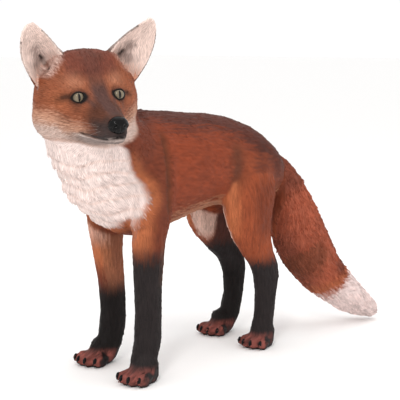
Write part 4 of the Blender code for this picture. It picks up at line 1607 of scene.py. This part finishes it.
class FOX_OT_whiskers(bpy.types.Operator):
    """A few pale whiskers on each side of the muzzle"""

    bl_idname = "fox.whiskers"
    bl_label = "Whiskers"

    def execute(self, context):
        points = []
        faces = []
        for side in (1, -1):
            for hair in WHISKERS:
                ring, quads = tapered_hair([np.array(p) * (side, 1, 1) for p in hair])
                faces += [tuple(len(points) + i for i in quad) for quad in quads]
                points += ring
        mesh = mesh_of("whiskers", from_head(points), faces)
        add_piece("whiskers", mesh, nylon())
        return {"FINISHED"}


# ---------------------------------------------------------------- stage


# The camera's place in metres, its turn and downward slant in degrees, its lens and sensor in mm.
CAMERA_PLACE = (1.4152, -1.5511, 0.561)
CAMERA_AZIMUTH = 43.0
CAMERA_DOWN = 7.677
CAMERA_LENS = 106.83
SENSOR = 36
# The floor reaches this far each way, and the lamps are aimed at the middle of the body, in metres.
FLOOR_REACH = 30
LAMP_TARGET = (0, 0, 0.25)
# Each lamp's place and side in metres, power in watts and tint: one small and crisp, one wide and soft.
LAMPS = {
    "key": ((1.3, -2.1, 2.2), 0.45, 26, (1, 0.985, 0.96)),
    "top": ((0.2, 0.4, 2.6), 2.2, 14, (1, 1, 1)),
}
SURROUND_LIGHT = 1.02


def softbox(name, place, wide, power, tint):
    """A square lamp aimed at the fox."""
    lamp = bpy.data.lights.new(name, "AREA")
    lamp.shape = "RECTANGLE"
    lamp.size = wide
    lamp.size_y = wide
    lamp.energy = power
    lamp.color = tint
    made = bpy.data.objects.new(name, lamp)
    bpy.context.scene.collection.objects.link(made)
    made.location = place
    made.rotation_euler = (Vector(LAMP_TARGET) - made.location).to_track_quat("-Z", "Y").to_euler()


class FOX_OT_stage(bpy.types.Operator):
    """Plain pale floor, soft studio lights and the camera"""

    bl_idname = "fox.stage"
    bl_label = "Stage"

    def execute(self, context):
        scene = context.scene
        reach = FLOOR_REACH
        corner_points = [(-reach, -reach, 0), (reach, -reach, 0), (reach, reach, 0), (-reach, reach, 0)]
        floor = mesh_of("floor", corner_points, [(0, 1, 2, 3)])
        ground = bpy.data.objects.new("floor", floor)
        floor.materials.append(studio_paper())
        scene.collection.objects.link(ground)
        ground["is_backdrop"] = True
        for name, values in LAMPS.items():
            softbox(name, *values)
        world = bpy.data.worlds.new("studio")
        scene.world = world
        world.use_nodes = True
        back = world.node_tree.nodes["Background"]
        back.inputs["Color"].default_value = (1, 1, 1, 1)
        back.inputs["Strength"].default_value = SURROUND_LIGHT
        scene.view_settings.view_transform = "Standard"
        lens = bpy.data.cameras.new("camera")
        lens.sensor_width = SENSOR
        lens.lens = CAMERA_LENS
        camera = bpy.data.objects.new("camera", lens)
        camera.location = CAMERA_PLACE
        camera.rotation_euler = (math.radians(90 - CAMERA_DOWN), 0, math.radians(CAMERA_AZIMUTH))
        scene.collection.objects.link(camera)
        scene.camera = camera
        return {"FINISHED"}


class FOX_PT_panel(bpy.types.Panel):
    """Lists the pieces of the fox and their settings"""

    bl_idname = "FOX_PT_panel"
    bl_label = "Resin Fox"
    bl_space_type = "VIEW_3D"
    bl_region_type = "UI"
    bl_category = "Resin Fox"

    def draw(self, context):
        layout = self.layout
        for group in (context.scene.fox_sizes, context.scene.fox_colours):
            box = layout.box()
            for name in group.__annotations__:
                box.prop(group, name)
        for operator in OPERATORS:
            layout.operator(operator.bl_idname)


OPERATORS = (FOX_OT_skin, FOX_OT_locks, FOX_OT_eyes, FOX_OT_nose, FOX_OT_claws, FOX_OT_whiskers, FOX_OT_stage)
CLASSES = (FoxSizes, FoxColours, *OPERATORS, FOX_PT_panel)


def register():
    for item in CLASSES:
        bpy.utils.register_class(item)
    bpy.types.Scene.fox_sizes = PointerProperty(type=FoxSizes)
    bpy.types.Scene.fox_colours = PointerProperty(type=FoxColours)


def unregister():
    del bpy.types.Scene.fox_colours
    del bpy.types.Scene.fox_sizes
    for item in reversed(CLASSES):
        bpy.utils.unregister_class(item)


def corners():
    """The lowest and highest corner of everything in the scene, as plain lists."""
    return [list(corner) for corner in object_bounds()]


def main():
    register()
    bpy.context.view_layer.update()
    bpy.ops.fox.skin()
    bpy.ops.fox.locks()
    bpy.ops.fox.eyes()
    bpy.ops.fox.nose()
    bpy.ops.fox.claws()
    if bpy.context.scene.fox_sizes.whiskers:
        bpy.ops.fox.whiskers()
    bpy.ops.fox.stage()


if __name__ == "__main__":
    main()
